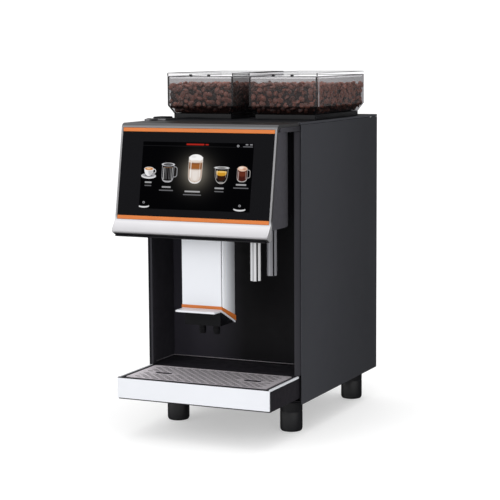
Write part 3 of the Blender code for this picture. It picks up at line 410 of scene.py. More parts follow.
def dress_nodes():
    """Every CAD node gets its slot's finish, or its own, and eased edges."""
    for part in frame["record"]["subparts"]:
        name = part["node"]
        node = paint(NODES[name], OWN_FINISH.get(name, part["material_slot"]))
        node.modifiers.new("weld", "WELD").merge_threshold = 0.00001
        flat = node.modifiers.new("flat", "DECIMATE")
        flat.decimate_type = "DISSOLVE"
        flat.angle_limit = math.radians(0.6)
        soften(node, OWN_EASE.get(name, 0.0005))


def soften(obj, width):
    """Eases the edges, with shading that stays flat between them."""
    bevel = obj.modifiers.new("eased", "BEVEL")
    bevel.width = width
    bevel.segments = 2
    bevel.limit_method = "ANGLE"
    bevel.angle_limit = math.radians(32)
    bevel.harden_normals = True
    bevel.use_clamp_overlap = True


# ---------------------------------------------------------------- mesh helpers
SHARP = math.radians(38)


def in_scene(name, mesh):
    obj = bpy.data.objects.new(name, mesh)
    bpy.context.scene.collection.objects.link(obj)
    return obj


def as_mesh(name, bm):
    """The mesh of what was built in bm, which this uses up."""
    mesh = bpy.data.meshes.new(name)
    bm.to_mesh(mesh)
    bm.free()
    return mesh


def add_piece(name, bm, finish, body, ease=0.0, slot=None):
    """A visible piece that rides on a body. Its slot argument is not used."""
    bmesh.ops.recalc_face_normals(bm, faces=bm.faces)
    mesh = as_mesh(name, bm)
    mesh.shade_smooth()
    if not ease:
        mesh.set_sharp_from_angle(angle=SHARP)
    obj = paint(in_scene(name, mesh), finish)
    if ease:
        soften(obj, ease)
    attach(obj, body)
    slot = slot or finish
    return obj


def ring_at(value, outline, axis="Z"):
    """A 2-D outline as points at a value on an axis. Its own two coordinates keep the order X, Y, Z."""
    order = "XYZ".index(axis)
    return [Vector((*point[:order], value, *point[order:])) for point in outline]


def loft(bm, rings, caps=True, closed=False):
    """Adds a skin over rings of equal length, with capped ends, or closed from the last ring to the first."""
    loops = [[bm.verts.new(point) for point in ring] for ring in rings]
    count = len(loops[0])
    for near, far in zip(loops, loops[1:] + (loops[:1] if closed else [])):
        for i in range(count):
            bm.faces.new((near[i], near[(i + 1) % count], far[(i + 1) % count], far[i]))
    if caps and not closed:
        bm.faces.new(loops[0])
        bm.faces.new(loops[-1])
    return loops


def prism(outline, ends, axis="Z"):
    """The rings of an outline run straight along an axis from one end to the other."""
    return [ring_at(end, outline, axis) for end in ends]


def block(bm, low, high):
    low, high = Vector(low), Vector(high)
    place = Matrix.Translation((low + high) / 2) @ Matrix.Diagonal((*(high - low), 1.0))
    return bmesh.ops.create_cube(bm, size=1.0, matrix=place)["verts"]


def lathe(bm, profile, centre, axis="Z", steps=48):
    """Adds a closed (radius, height) profile spun about an axis through centre."""
    turn = {"Z": Matrix.Identity(3), "Y": Matrix.Rotation(-math.pi / 2, 3, "X"),
            "X": Matrix.Rotation(math.pi / 2, 3, "Y")}[axis]
    loops = []
    for step in range(steps):
        angle = step / steps * math.tau
        ring = [Vector((r * math.cos(angle), r * math.sin(angle), h)) for r, h in profile]
        loops.append([bm.verts.new(turn @ p + Vector(centre)) for p in ring])
    for near, far in zip(loops, loops[1:] + loops[:1]):
        for j in range(len(profile)):
            k = (j + 1) % len(profile)
            if profile[j][0] > 1e-9 or profile[k][0] > 1e-9:
                bm.faces.new((near[j], near[k], far[k], far[j]))
    bmesh.ops.remove_doubles(bm, verts=bm.verts, dist=1e-7)


def turned(name, profile, centre, finish, body, steps, axis="Z", slot=None):
    """A piece that is one spun profile."""
    bm = bmesh.new()
    lathe(bm, profile, centre, axis, steps)
    return add_piece(name, bm, finish, body, slot=slot)


def skin(name, rings, finish, body, ease=0.0, slot=None, caps=True, closed=False):
    """A piece that is one loft."""
    bm = bmesh.new()
    loft(bm, rings, caps, closed)
    return add_piece(name, bm, finish, body, ease, slot)


def blocks(name, corners, finish, body, ease=0.0, slot=None):
    """A piece made of blocks, each given by its low and high corner."""
    bm = bmesh.new()
    for low, high in corners:
        block(bm, low, high)
    return add_piece(name, bm, finish, body, ease, slot)


def collar(inner, outer, low, high):
    """The profile of a plain ring, or of a disc where inner is 0."""
    return [(inner, low), (outer, low), (outer, high), (inner, high)]


def round_part(node):
    """Axis, radius, low end and high end of an upright round node."""
    low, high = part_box(node)
    return (*((low + high) / 2).xy, 0), (high.x - low.x) / 2, low.z, high.z


def tube(bm, path, radius, steps):
    """Adds a round tube along a list of points."""
    path = [Vector(p) for p in path]
    angles = [step / steps * math.tau for step in range(steps)]
    rings, side = [], None
    for i, point in enumerate(path):
        ahead = (path[min(i + 1, len(path) - 1)] - path[max(i - 1, 0)]).normalized()
        side = ahead.orthogonal() if side is None else side - ahead * side.dot(ahead)
        side.normalize()
        other = ahead.cross(side)
        rings.append([point + (side * math.cos(a) + other * math.sin(a)) * radius for a in angles])
    loft(bm, rings)


def smooth_path(points, steps=10):
    """A Catmull-Rom curve through the points."""
    points = [Vector(p) for p in points]
    padded = [points[0] * 2 - points[1], *points, points[-1] * 2 - points[-2]]
    curve = []
    for a, b, c, d in zip(padded, padded[1:], padded[2:], padded[3:]):
        for step in range(steps):
            t = step / steps
            curve.append(0.5 * (2 * b + (c - a) * t + (2 * a - 5 * b + 4 * c - d) * t**2
                                + (3 * b - a - 3 * c + d) * t**3))
    return curve + [points[-1]]


def filleted(corners, steps):
    """2-D points of a closed outline of (u, v, radius) corners, each rounded by its radius."""
    points = []
    for i, (u, v, radius) in enumerate(corners):
        here = Vector((u, v))
        back = (Vector(corners[i - 1][:2]) - here).normalized()
        ahead = (Vector(corners[(i + 1) % len(corners)][:2]) - here).normalized()
        half = math.acos(max(-1.0, min(1.0, back.dot(ahead)))) / 2
        if not radius or half > math.radians(89):
            points += [here] * (steps + 1)
            continue
        reach = radius / math.tan(half)
        centre = here + (back + ahead).normalized() * (radius / math.sin(half))
        first, last = here + back * reach - centre, here + ahead * reach - centre
        sweep = first.angle_signed(last)
        for step in range(steps + 1):
            points.append(centre + Matrix.Rotation(-sweep * step / steps, 2) @ first)
    return points


def rounded_rectangle(low, high, radius, steps=6):
    corners = ((high[0], high[1]), (low[0], high[1]), (low[0], low[1]), (high[0], low[1]))
    return filleted([(*corner, radius) for corner in corners], steps)


def arc(centre, radius, start, end, steps):
    """Points from one angle to another round a centre."""
    angles = np.linspace(start, end, steps)
    return [(centre[0] + radius * math.cos(a), centre[1] + radius * math.sin(a)) for a in angles]


def cut_now(obj, bm):
    """Cuts the shape in bm out of obj and keeps the result."""
    bmesh.ops.recalc_face_normals(bm, faces=bm.faces)
    cutter = in_scene("cutter", as_mesh("cutter", bm))
    boolean = obj.modifiers.new("cut", "BOOLEAN")
    boolean.object = cutter
    boolean.solver = "EXACT"
    bpy.context.view_layer.update()
    evaluated = obj.evaluated_get(bpy.context.evaluated_depsgraph_get())
    result = bpy.data.meshes.new_from_object(evaluated)
    obj.modifiers.remove(boolean)
    obj.data = result
    bpy.data.objects.remove(cutter)


def even_shading(obj):
    """Flat faces keep flat shading beside their fillets."""
    obj.data.shade_smooth()
    obj.data.set_sharp_from_angle(angle=SHARP)
    even = obj.modifiers.new("even", "WEIGHTED_NORMAL")
    even.weight = 100
    even.keep_sharp = True


def screen_y(height):
    """Y of the leaning front surface at a height."""
    return STRIP_ORIGIN.y - (STRIP_ORIGIN.z - height) * SLANT_RUN


def on_screen(across, down, out=0.0):
    """A point on the leaning front: across in X, down the slant from the upper strip, out to the user."""
    return STRIP_ORIGIN + Vector((across, 0, 0)) + DOWN_SCREEN * down - INTO_HEAD * out


# ---------------------------------------------------------------- head
def fascia_section(chin):
    """The silver wrap's closed section in Y and Z. chin from 0 to 1 sets how far the chin stands out."""
    rear, top, skin, drop = FASCIA_HIGH.y, FASCIA_HIGH.z, 0.005, 0.01
    back = screen_y(HEAD_FLOOR) + skin
    inner = screen_y(top - drop) + skin
    low_z = FASCIA_LOW.z + 0.0195 * (1 - chin)
    return filleted([
        (rear, top, 0.0004),
        (screen_y(top), top, 0.0095),
        (screen_y(CHIN_TOP), CHIN_TOP, 0.006),
        (FASCIA_LOW.y + 0.0115 * (1 - chin), FASCIA_LOW.z + 0.0086 + 0.01 * (1 - chin), 0.0038),
        (FRONT - 0.1225, low_z, 0.0012),
        (back, low_z + 0.001, 0.0003),
        (back, HEAD_FLOOR, 0.0003),
        (inner, top - drop, 0.005),
        (inner + 0.006, top - skin, 0.0003),
        (rear, top - skin, 0.0004),
    ], 6)


def build_fascia():
    """Silver wrap over the top of the head, down both sides of the screen, and out into the chin."""
    half, corner, steps = FASCIA_HIGH.x - 0.0011, 0.0035, 5
    stations = []
    for step in range(steps + 1):
        angle = step / steps * math.pi / 2
        stations.append((half - corner * (1 - math.sin(angle)), 0.72 + 0.28 * math.cos(angle)))
    straight = [(x, 1.0) for x in np.linspace(-half + corner, half - corner, 16)[1:-1]]
    stations = [(-x, chin) for x, chin in reversed(stations)] + straight + stations
    bm = bmesh.new()
    loft(bm, [ring_at(x, fascia_section(chin), "X") for x, chin in stations])
    bmesh.ops.remove_doubles(bm, verts=bm.verts, dist=1e-7)
    wrap = add_piece("fascia_wrap", bm, "silver_paint", "door")

    window = bmesh.new()
    across, past = GLASS_HALF + 0.0004, 0.0037
    ring = ((-across, -past), (across, -past), (across, SCREEN_DROP + past), (-across, SCREEN_DROP + past))
    loft(window, [[on_screen(x, down, out) for x, down in ring] for out in (0.02, -0.02)])
    cut_now(wrap, window)

    bore = bmesh.new()
    lathe(bore, collar(0, 0.0036, 0, 0.04), (*HINGE_PIN.xy, BODY_TOP - 0.02), steps=32)
    cut_now(wrap, bore)

    corner = bmesh.new()
    x, y, reach = HINGE_PIN.x, HINGE_PIN.y, 0.01
    outline = [(x + 0.0001, y + reach + 0.0001), (x + 0.0001, y + 0.02), (-0.16, y + 0.02), (-0.16, y)]
    outline += arc((x, y), reach, math.pi, math.pi / 2, 9)
    loft(corner, prism(outline, (BODY_TOP - 0.012, BODY_TOP + 0.012)))
    cut_now(wrap, corner)
    even_shading(paint(wrap, "silver_paint"))
    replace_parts(wrap, "fascia")

    # painted shade: a black lip under the chin stands for the shade where its underside turns away
    z = FASCIA_LOW.z
    lip = [(FRONT - 0.1345, z + 0.0012, 0.0008), (FRONT - 0.125, z - 0.0004, 0.0008),
           (FRONT - 0.1195, z - 0.0004, 0.0006), (FRONT - 0.1195, z + 0.0022, 0.0004),
           (FRONT - 0.129, z + 0.005, 0.0004)]
    ends = (-half + 0.006, half - 0.006)
    skin("chin_shadow_lip", prism(filleted(lip, 4), ends, "X"), "black_plastic", "door")


class Picture:
    """A grid of display colours over the lit area, in millimetres from its upper left corner."""

    def __init__(self, width, height, step=0.5):
        self.columns, self.rows = round(width / step) + 1, round(height / step) + 1
        self.u, self.v = np.meshgrid(np.linspace(0, width, self.columns), np.linspace(0, height, self.rows))
        self.rgb = np.zeros((self.rows, self.columns, 3))

    def lay(self, distance, colour, share=1.0, soft=0.45):
        """Colours the inside of a shape, given its signed distance."""
        cover = np.clip(0.5 - distance / soft, 0, 1) * share
        self.rgb += (np.array(colour) / 255 - self.rgb) * cover[..., None]

    def glow(self, u, v, reach_u, reach_v, colour):
        """Adds light that fades away from a point."""
        fade = np.exp(-(((self.u - u) / reach_u) ** 2) - ((self.v - v) / reach_v) ** 2)
        self.rgb += fade[..., None] * np.array(colour) / 255

    def box(self, u, v, half_u, half_v, corner=0.0):
        du, dv = abs(self.u - u) - half_u + corner, abs(self.v - v) - half_v + corner
        return np.hypot(np.maximum(du, 0), np.maximum(dv, 0)) + np.minimum(np.maximum(du, dv), 0) - corner

    def oval(self, u, v, reach_u, reach_v):
        return (np.hypot((self.u - u) / reach_u, (self.v - v) / reach_v) - 1) * min(reach_u, reach_v)

    def bowl(self, u, top, bottom, half, power=3.0):
        """A glass with straight upper sides and a rounded foot."""
        share = np.clip((self.v - top) / (bottom - top), 0, 1)
        sides = abs(self.u - u) - half * np.sqrt(1 - share**power * 0.999)
        return np.maximum(sides, np.maximum(top - self.v, self.v - bottom))

    def shine(self, u, top, bottom, half, share):
        """A soft upright highlight."""
        upright = self.box(u, (top + bottom) / 2, half, (bottom - top) / 2, half * 0.9)
        self.lay(upright, (255, 255, 255), share, half)


def draw_cup(p):
    """White coffee cup on a saucer."""
    p.lay(p.oval(14.6, 59.2, 14.4, 4.6), (226, 226, 228))
    p.lay(p.oval(14.6, 58.2, 12.2, 3.2), (164, 164, 168))
    p.lay(p.oval(14.6, 58.0, 7.4, 2.0), (96, 96, 100))
    p.lay(abs(p.oval(24.4, 50.8, 3.2, 3.4)) - 0.7, (222, 222, 224))
    p.lay(p.bowl(14.6, 46.5, 59.4, 9.0, 2.2), (240, 240, 242))
    p.lay(p.bowl(18.2, 49.0, 58.6, 5.0, 2.2), (170, 168, 170), 0.6, 3.5)
    p.lay(p.oval(14.6, 46.8, 9.0, 3.2), (252, 250, 248))
    p.lay(p.oval(14.6, 46.9, 7.8, 2.4), (196, 120, 58))
    p.lay(p.oval(14.0, 46.8, 4.6, 1.3), (244, 214, 172), 0.9, 1.0)


def draw_mug(p):
    """Glass mug of black coffee."""
    p.lay(abs(p.box(63.6, 51.0, 5.0, 8.6, 4.0)) - 0.55, (176, 176, 180))
    p.lay(p.bowl(51.2, 37.5, 69.5, 11.4, 9.0), (170, 170, 174))
    p.lay(p.bowl(51.2, 38.4, 67.6, 10.6, 8.0), (12, 11, 12))
    for u, share in ((43.2, 0.9), (46.4, 0.5), (49.2, 0.35), (53.4, 0.4), (56.4, 0.55), (59.4, 0.85)):
        p.shine(u, 43.0, 64.5, 0.45, share)
    p.lay(p.oval(51.2, 66.2, 8.6, 1.5), (210, 210, 214), 0.8)
    p.lay(p.oval(51.2, 65.2, 7.8, 1.2), (18, 16, 16))
    p.lay(abs(p.oval(51.2, 38.6, 11.0, 2.6)) - 0.4, (222, 222, 226))
    p.lay(p.oval(51.2, 43.6, 9.6, 1.0), (128, 92, 62), 0.7)


def draw_latte(p):
    """Tall layered latte under foam."""
    p.lay(p.bowl(103, 24.5, 70.0, 13.2, 9.0), (236, 232, 230))
    p.lay(p.bowl(103, 26.0, 67.6, 12.2, 9.0), (216, 200, 186))
    p.lay(p.bowl(103, 34.5, 66.5, 12.0, 9.0), (112, 62, 26), 0.97, 3.0)
    p.lay(p.bowl(103, 36.5, 45.0, 9.0, 9.0), (176, 108, 52), 0.7, 3.0)
    p.lay(p.bowl(103, 45.5, 66.6, 11.6, 6.0), (226, 216, 208), 0.96, 3.2)
    p.lay(p.bowl(103, 48.0, 65.0, 6.0, 3.0), (246, 242, 238), 0.5, 4.0)
    p.lay(p.oval(103, 26.6, 12.6, 6.4), (252, 251, 250))
    p.lay(p.oval(103, 32.4, 11.8, 2.2), (226, 214, 204), 0.9, 1.5)
    p.lay(p.oval(98.5, 24.4, 4.6, 2.0), (228, 226, 226), 0.7, 1.5)
    p.shine(94.2, 33.0, 60.0, 1.0, 0.75)
    p.shine(111.4, 35.0, 58.0, 0.7, 0.5)


def draw_espresso(p):
    """Short double-walled glass of espresso."""
    p.lay(p.bowl(152.4, 41.0, 69.0, 12.2, 4.0), (188, 186, 184))
    p.lay(p.bowl(152.4, 42.0, 67.8, 11.5, 4.0), (26, 22, 20))
    p.lay(p.bowl(152.4, 48.0, 63.5, 9.8, 2.4), (52, 26, 12))
    p.lay(p.bowl(152.4, 48.4, 55.8, 9.8, 3.4), (206, 150, 44), 1.0, 1.8)
    p.lay(p.oval(152.4, 48.6, 9.8, 1.5), (240, 196, 106))
    p.lay(abs(p.oval(152.4, 41.8, 11.8, 1.8)) - 0.4, (222, 222, 224))
    p.shine(144.0, 45.5, 60.0, 0.8, 0.6)
    p.shine(160.6, 46.0, 58.0, 0.6, 0.4)
    p.lay(p.oval(152.4, 66.4, 5.6, 0.9), (206, 204, 200), 0.7)


def draw_mocha(p):
    """Glass mug of mocha under cream."""
    p.lay(abs(p.box(201.2, 51.0, 3.9, 6.6, 3.2)) - 0.5, (190, 186, 184))
    p.lay(p.bowl(190.8, 42.0, 65.0, 9.6, 9.0), (186, 182, 180))
    p.lay(p.bowl(190.8, 43.0, 63.6, 8.9, 8.0), (66, 26, 18))
    p.lay(p.bowl(190.8, 47.5, 56.0, 6.5, 4.0), (122, 60, 40), 0.6, 4.0)
    p.lay(p.oval(190.8, 42.6, 9.0, 4.4), (226, 190, 168))
    p.lay(p.oval(188.6, 40.9, 4.4, 1.9), (248, 232, 220), 0.9, 1.4)
    p.lay(p.oval(194.6, 43.0, 3.2, 1.5), (178, 120, 94), 0.7, 1.4)
    p.shine(184.0, 47.0, 61.0, 0.7, 0.6)
    p.shine(197.4, 47.0, 60.0, 0.5, 0.45)


def draw_status_row(p):
    """A thin line, red bars where the photo has a name, a round button and grey bars where it has a clock."""
    p.lay(p.box(104, 6.8, 104, 0.25), (120, 120, 124), 0.35)
    p.lay(p.box(100, 3.5, 17, 1.4, 1.4), (190, 40, 30), 0.9)
    p.lay(p.box(122, 3.5, 3.2, 1.1, 1.1), (190, 40, 30), 0.9)
    p.lay(p.oval(180, 4.6, 2.2, 2.0), (170, 170, 174))
    p.lay(p.oval(180, 4.6, 1.0, 0.9), (10, 10, 12))
    p.lay(p.box(196, 2.2, 2.6, 0.9, 0.9), (150, 150, 154))
    p.lay(p.box(204, 2.2, 2.6, 0.9, 0.9), (150, 150, 154))
    p.lay(p.box(198, 5.6, 9, 0.7, 0.7), (110, 110, 114))


def draw_captions(p):
    """Two plain bars under each drink."""
    for u, v, upper, lower in ((14.6, 70.0, 6.5, 6.5), (50, 77.2, 8.5, 13.5), (100, 83.4, 14.5, 17),
                               (150, 76.4, 8.5, 8.5), (190, 69.4, 9.5, 14)):
        p.lay(p.box(u, v, upper, 1.3, 0.6), (196, 196, 198), 0.85)
        p.lay(p.box(u, v + 5.6, lower, 0.9, 0.6), (134, 134, 138), 0.8)


def draw_side_buttons(p):
    """A small ring over a curved bar in each lower corner."""
    for u in (8.6, 190.0):
        p.lay(np.maximum(p.oval(u, 110.6, 11.2, 3.2), -p.oval(u, 108.6, 11.0, 2.6)), (226, 226, 228))
        p.lay(p.oval(u, 104.6, 2.2, 1.9), (170, 170, 174))
        p.lay(p.oval(u, 104.6, 1.2, 1.0), (30, 30, 34))


def build_screen():
    """The lit menu a hair in front of the glass: five drinks on black, with a warm glow in the middle."""
    picture = Picture(208.5, 115.0)
    picture.glow(104, 52, 34, 30, (96, 92, 84))
    picture.glow(104, 50, 17, 26, (34, 32, 28))
    for draw in (draw_status_row, draw_cup, draw_mug, draw_latte, draw_espresso, draw_mocha, draw_captions,
                 draw_side_buttons):
        draw(picture)
    left, top, proud = -0.1022, 0.0203, 0.00007
    rows, columns = picture.rows, picture.columns
    u, v = picture.u / 1000 + left, picture.v / 1000 + top
    start = np.array(on_screen(0, 0, proud))
    points = start + u[..., None] * np.array((1.0, 0, 0)) + v[..., None] * np.array(DOWN_SCREEN)
    index = np.arange(rows * columns).reshape(rows, columns)
    faces = np.stack([index[:-1, :-1], index[1:, :-1], index[1:, 1:], index[:-1, 1:]], -1).reshape(-1, 4)
    mesh = bpy.data.meshes.new("menu_picture")
    mesh.from_pydata(points.reshape(-1, 3).tolist(), [], faces.tolist())
    colours = mesh.attributes.new("menu", "FLOAT_COLOR", "POINT")
    shown = np.clip(picture.rgb, 0, 1)
    linear = np.where(shown <= 0.04, shown / 12.92, ((shown + 0.055) / 1.055) ** 2.4)
    flat = np.concatenate([linear, np.ones((rows, columns, 1))], -1)
    colours.data.foreach_set("color", flat.astype(np.float32).ravel())
    f = Finish("lit_menu", tone(1, 1, 2), 0.06, specular=0.012, **{"Emission Strength": 0.94})
    f.rough(25, 0.04, 0.09)
    f.feed("Emission Color", f.node("Attribute", attribute_name="menu").outputs["Color"])
    obj = paint(in_scene("menu_picture", mesh), f)
    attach(obj, "door")


def build_spout():
    """Pearl front plate, a dark seam, a folded wall on each side, an orange band and two nozzle collars."""
    low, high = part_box("spout_cover")
    front_low, depth = 0.233, high.y - low.y
    half, thick, seam, wall, inset = high.x + 0.0007, 0.002, 0.0034, 0.0022, 0.0006
    start = low.y + thick + seam

    def floor_at(y):
        return front_low + (low.z - front_low) * (y - low.y) / depth

    front = half - inset
    outline = filleted([(-front, low.y, 0.0016), (front, low.y, 0.0016), (front, low.y + thick, 0.0003),
                        (-front, low.y + thick, 0.0003)], 5)
    plate = skin("spout_front_plate", prism(outline, (front_low, high.z)), "white_silver", "spout")
    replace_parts(plate, "spout_cover")

    section = filleted([(half, start, 0.0012), (half, high.y, 0.0045), (half - 0.02, high.y, 0.0003),
                        (half - 0.02, high.y - wall, 0.0003), (half - wall, high.y - wall, 0.0025),
                        (half - wall, start, 0.0003)], 6)
    for side, name in ((1, "right"), (-1, "left")):
        bottom = [Vector((side * x, y, floor_at(y) + 0.0002)) for x, y in section]
        top = [Vector((side * x, y, high.z)) for x, y in section]
        skin(f"spout_side_{name}", [bottom, top], "shaded_pearl_side", "spout", slot="white_silver")

    edge = half - 0.0016
    seam_corners = ((-edge, start - seam - 0.001, front_low + 0.001), (edge, start + 0.0008, high.z - 0.001))
    blocks("spout_seam_backing", [seam_corners], "black_plastic", "spout", ease=0.0002)

    proud = 0.0004
    outer, inner = half + proud, half - wall
    corners = ((outer, low.y - proud), (outer, high.y), (inner, high.y), (inner, start), (-inner, start),
               (-inner, high.y), (-outer, high.y), (-outer, low.y - proud))
    section = filleted([(x, y, 0.0012 if abs(x) > half and y < low.y else 0.0002) for x, y in corners], 4)
    rings = [[Vector((x, y, floor_at(y) - drop * (1.0 + 0.65 * (y - low.y) / depth))) for x, y in section]
             for drop in (0.0027, -0.0026)]
    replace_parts(skin("spout_band", rings, "orange_trim", "spout"), "spout_trim")

    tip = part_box("spout_block")[0].z
    profile = [(radius, tip + rise) for radius, rise in
               ((0.0026, 0.0002), (0.0044, 0.0002), (0.005, 0.0008), (0.0056, 0.0056), (0.0062, 0.0062),
                (0.0062, 0.0085), (0.0026, 0.0085))]
    for side, name in ((-1, "left"), (1, "right")):
        centre = (side * 0.0135, FRONT - 0.055, 0)
        turned(f"nozzle_collar_{name}", profile, centre, "shaded_nozzle_moulding", "spout", 40, slot="black_plastic")


def build_outlets():
    """Polished tubes with a rolled lip and a mesh, each under a dark collar in the head's floor."""
    # the steam outlet takes the darker copy of the tube steel: painted shade
    for name, finish in (("hot_water_outlet", "polished_steel"), ("steam_outlet", "shaded_steam_tube")):
        axis, radius, low, high = round_part(name)
        bore = radius - 0.0018
        profile = [(bore, high), (bore, low + 0.0004), (bore + 0.0004, low), (radius - 0.0006, low),
                   (radius - 0.0002, low + 0.0003), (radius, low + 0.0009), (radius, high)]
        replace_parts(turned(f"{name}_tube", profile, axis, finish, "door", 72, slot="polished_steel"), name)
        profile = [(radius + out, HEAD_FLOOR - down) for out, down in
                   ((0.0001, 0.0002), (0.0003, 0.0016), (0.0016, 0.0016), (0.0024, 0.0002))]
        turned(f"{name}_collar", profile, axis, "black_plastic", "door", 48)
        mesh = collar(0, bore + 0.0001, low + 0.01, low + 0.013)
        turned(f"{name}_mesh", mesh, axis, "foot_rubber", "door", 32)


# ---------------------------------------------------------------- hoppers and beans
BEAN_SIZE = (0.0066, 0.005, 0.004)
BEAN_GAP = 0.0084
BEAN_WALL = 0.0022
HEAP_LOW, HEAP_TOP, HEAP_FALL = 0.5625, 0.6078, 0.0065


def hopper_rings(side, levels):
    """The bins' outline at each (height, inset) level, on the right with side 1 or mirrored with -1."""
    rings = []
    for height, inset in levels:
        low, high = (BIN_LOW.x + inset, BIN_LOW.y + inset), (BIN_HIGH.x - inset, BIN_HIGH.y - inset)
        outline = rounded_rectangle(low, high, max(0.0026 - inset / 6, 0.0012), 5)
        rings.append([Vector((side * x, y, height)) for x, y in outline])
    return rings


def bean_mesh():
    """Points and faces of one bean: domed above, flat below with a crease along it."""
    rings, around = 8, 16
    points = []
    for i in range(1, rings):
        turn = math.pi * i / rings
        for j in range(around):
            angle = math.tau * j / around
            x, y, z = math.cos(turn), math.sin(turn) * math.cos(angle), math.sin(turn) * math.sin(angle)
            if z < 0:
                crease = math.exp(-(((y - 0.1 * math.sin(x * 3)) / 0.17) ** 2))
                z = z * 0.5 + 0.42 * crease * math.sin(turn) ** 0.5
            points.append((x, y, z))
    points += [(1, 0, 0), (-1, 0, 0)]
    faces = []
    for i in range(rings - 2):
        a, b = i * around, (i + 1) * around
        for j in range(around):
            k = (j + 1) % around
            faces += [(a + j, a + k, b + k), (a + j, b + k, b + j)]
    for j in range(around):
        k = (j + 1) % around
        faces += [(len(points) - 2, k, j), (len(points) - 1, b + j, b + k)]
    return np.array(points) * BEAN_SIZE, np.array(faces)


def wall_place(run, low, high, size, z):
    """A point and an outward direction at a run along the four walls, at a height."""
    (ax, ay), (bx, by), (width, length) = low, high, size
    if run < width:
        return (ax + run / width * (bx - ax), ay, z), (0, -1, 0)
    if run < 2 * width:
        return (ax + (run - width) / width * (bx - ax), by, z), (0, 1, 0)
    if run < 2 * width + length:
        return (ax, ay + (run - 2 * width) / length * (by - ay), z), (-1, 0, 0)
    return (bx, ay + (run - 2 * width - length) / length * (by - ay), z), (1, 0, 0)


def bean_places(rng, side):
    """Centres and outward directions of the beans that show: against the walls, and on top of the heap."""
    low = np.array((BIN_LOW.x + BEAN_WALL, BIN_LOW.y + BEAN_WALL))
    high = np.array((BIN_HIGH.x - BEAN_WALL, BIN_HIGH.y - BEAN_WALL))
    size = high - low
    kept, outward = [], []
    share_top = size[0] * size[1] / (size[0] * size[1] + 2 * sum(size) * 0.05)
    for _ in range(9000):
        if rng.random() < share_top:
            x, y = low + 0.005 + rng.random(2) * (size - 0.01)
            lump = 0.002 * math.sin(x * 190 + side) * math.cos(y * 150)
            lump += 0.0014 * math.sin(y * 330 + x * 260)
            fall = HEAP_FALL * (y - BIN_LOW.y) / (BIN_HIGH.y - BIN_LOW.y)
            point, normal = (x, y, HEAP_TOP - fall + lump), (0, 0, 1)
        else:
            z = HEAP_LOW + rng.random() * (HEAP_TOP - HEAP_FALL * 0.4 - HEAP_LOW)
            inset = 0.0135 * min(max((BIN_SHOULDER + 0.0015 - z) / 0.015, 0.0), 1.0) + 0.0023
            run = rng.random() * 2 * sum(size)
            point, normal = wall_place(run, low + inset, high - inset, size, z)
        point = np.array(point)
        if not kept or np.min(np.sum((np.array(kept) - point) ** 2, 1)) >= BEAN_GAP**2:
            kept.append(point)
            outward.append(normal)
    return np.array(kept), np.array(outward, float)


def kept_inside(points):
    """A bean's points, moved in as far as it takes to clear the bin's walls, sloped foot and floor."""
    margin = 0.0007 + 0.009 * np.clip((BIN_SHOULDER - points[:, 2]) / 0.015, 0.0, 1.0)
    for axis in (0, 1):
        points[:, axis] += max(0.0, np.max(BIN_LOW[axis] + margin - points[:, axis]))
        points[:, axis] -= max(0.0, np.max(points[:, axis] - BIN_HIGH[axis] + margin))
    points[:, 2] += max(0.0, BIN_WAIST + 0.0012 - np.min(points[:, 2]))
    return points


def build_beans(side, name):
    """A bin's heap: single beans where they can be seen, round a dark heart."""
    rng = np.random.default_rng(41 + side)
    centres, outward = bean_places(rng, side)
    points, faces = bean_mesh()
    all_points = []
    for centre, normal in zip(centres, outward):
        tilt = Matrix.Rotation(rng.normal(0, 0.45), 3, "X") @ Matrix.Rotation(rng.normal(0, 0.45), 3, "Y")
        flip = Matrix.Rotation(math.pi if rng.random() < 0.55 else 0.0, 3, "X")
        spin = Matrix.Rotation(rng.random() * math.tau, 3, "Z")
        facing = Vector(normal).to_track_quat("Z", "Y").to_matrix()
        size = 0.9 + 0.22 * rng.random()
        all_points.append(kept_inside(points @ np.array(facing @ tilt @ spin @ flip).T * size + centre))
    stacked = np.concatenate(all_points)
    stacked[:, 0] *= side
    numbered = (faces[None] + (np.arange(len(centres)) * len(points))[:, None, None]).reshape(-1, 3)
    mesh = bpy.data.meshes.new(f"beans_{name}")
    mesh.from_pydata(stacked.tolist(), [], (numbered if side > 0 else numbered[:, ::-1]).tolist())
    mesh.shade_smooth()
    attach(paint(in_scene(f"beans_{name}", mesh), "beans"), "chassis")
    bm = bmesh.new()
    levels = ((BIN_WAIST + 0.0015, 0.0145), (BIN_SHOULDER + 0.0005, 0.0044),
              (HEAP_TOP - HEAP_FALL - 0.0035, 0.0044))
    loft(bm, hopper_rings(side, levels))
    bmesh.ops.subdivide_edges(bm, edges=bm.edges, cuts=2, use_grid_fill=True)
    add_piece(f"beans_{name}_heart", bm, "bean_shadow", "chassis")


def build_hoppers():
    for side, name in ((-1, "left"), (1, "right")):
        build_bin(side, name)
        build_posts(side, name)
        build_lid(side, name)
        build_beans(side, name)


def build_bin(side, name):
    """Clear bin with sharp corners on a dark base, whose round neck goes into the top cover."""
    rim, wall, bottom = BIN_HIGH.z, 0.002, BODY_TOP + 0.0004
    levels = ((BIN_WAIST, 0.009), (BIN_SHOULDER, 0.0), (rim, 0.0), (rim, wall), (rim - 0.0016, wall))
    walls = skin(f"hopper_{name}_walls", hopper_rings(side, levels), "smoked_clear", "chassis", caps=False)
    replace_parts(walls, f"hopper_{name}")
    bm = bmesh.new()
    levels = ((bottom, 0.0092), (BIN_WAIST - 0.0008, 0.009), (BIN_WAIST, 0.0094),
              (BIN_WAIST + 0.0006, 0.0116), (BIN_WAIST - 0.004, 0.013))
    loft(bm, hopper_rings(side, levels))
    neck = collar(0.022, 0.026, bottom - 0.006, bottom + 0.001)
    lathe(bm, neck, (side * (BIN_LOW.x + BIN_HIGH.x) / 2, 0.076, 0))
    add_piece(f"hopper_{name}_base", bm, "smoked_base", "chassis", slot="smoked_clear")


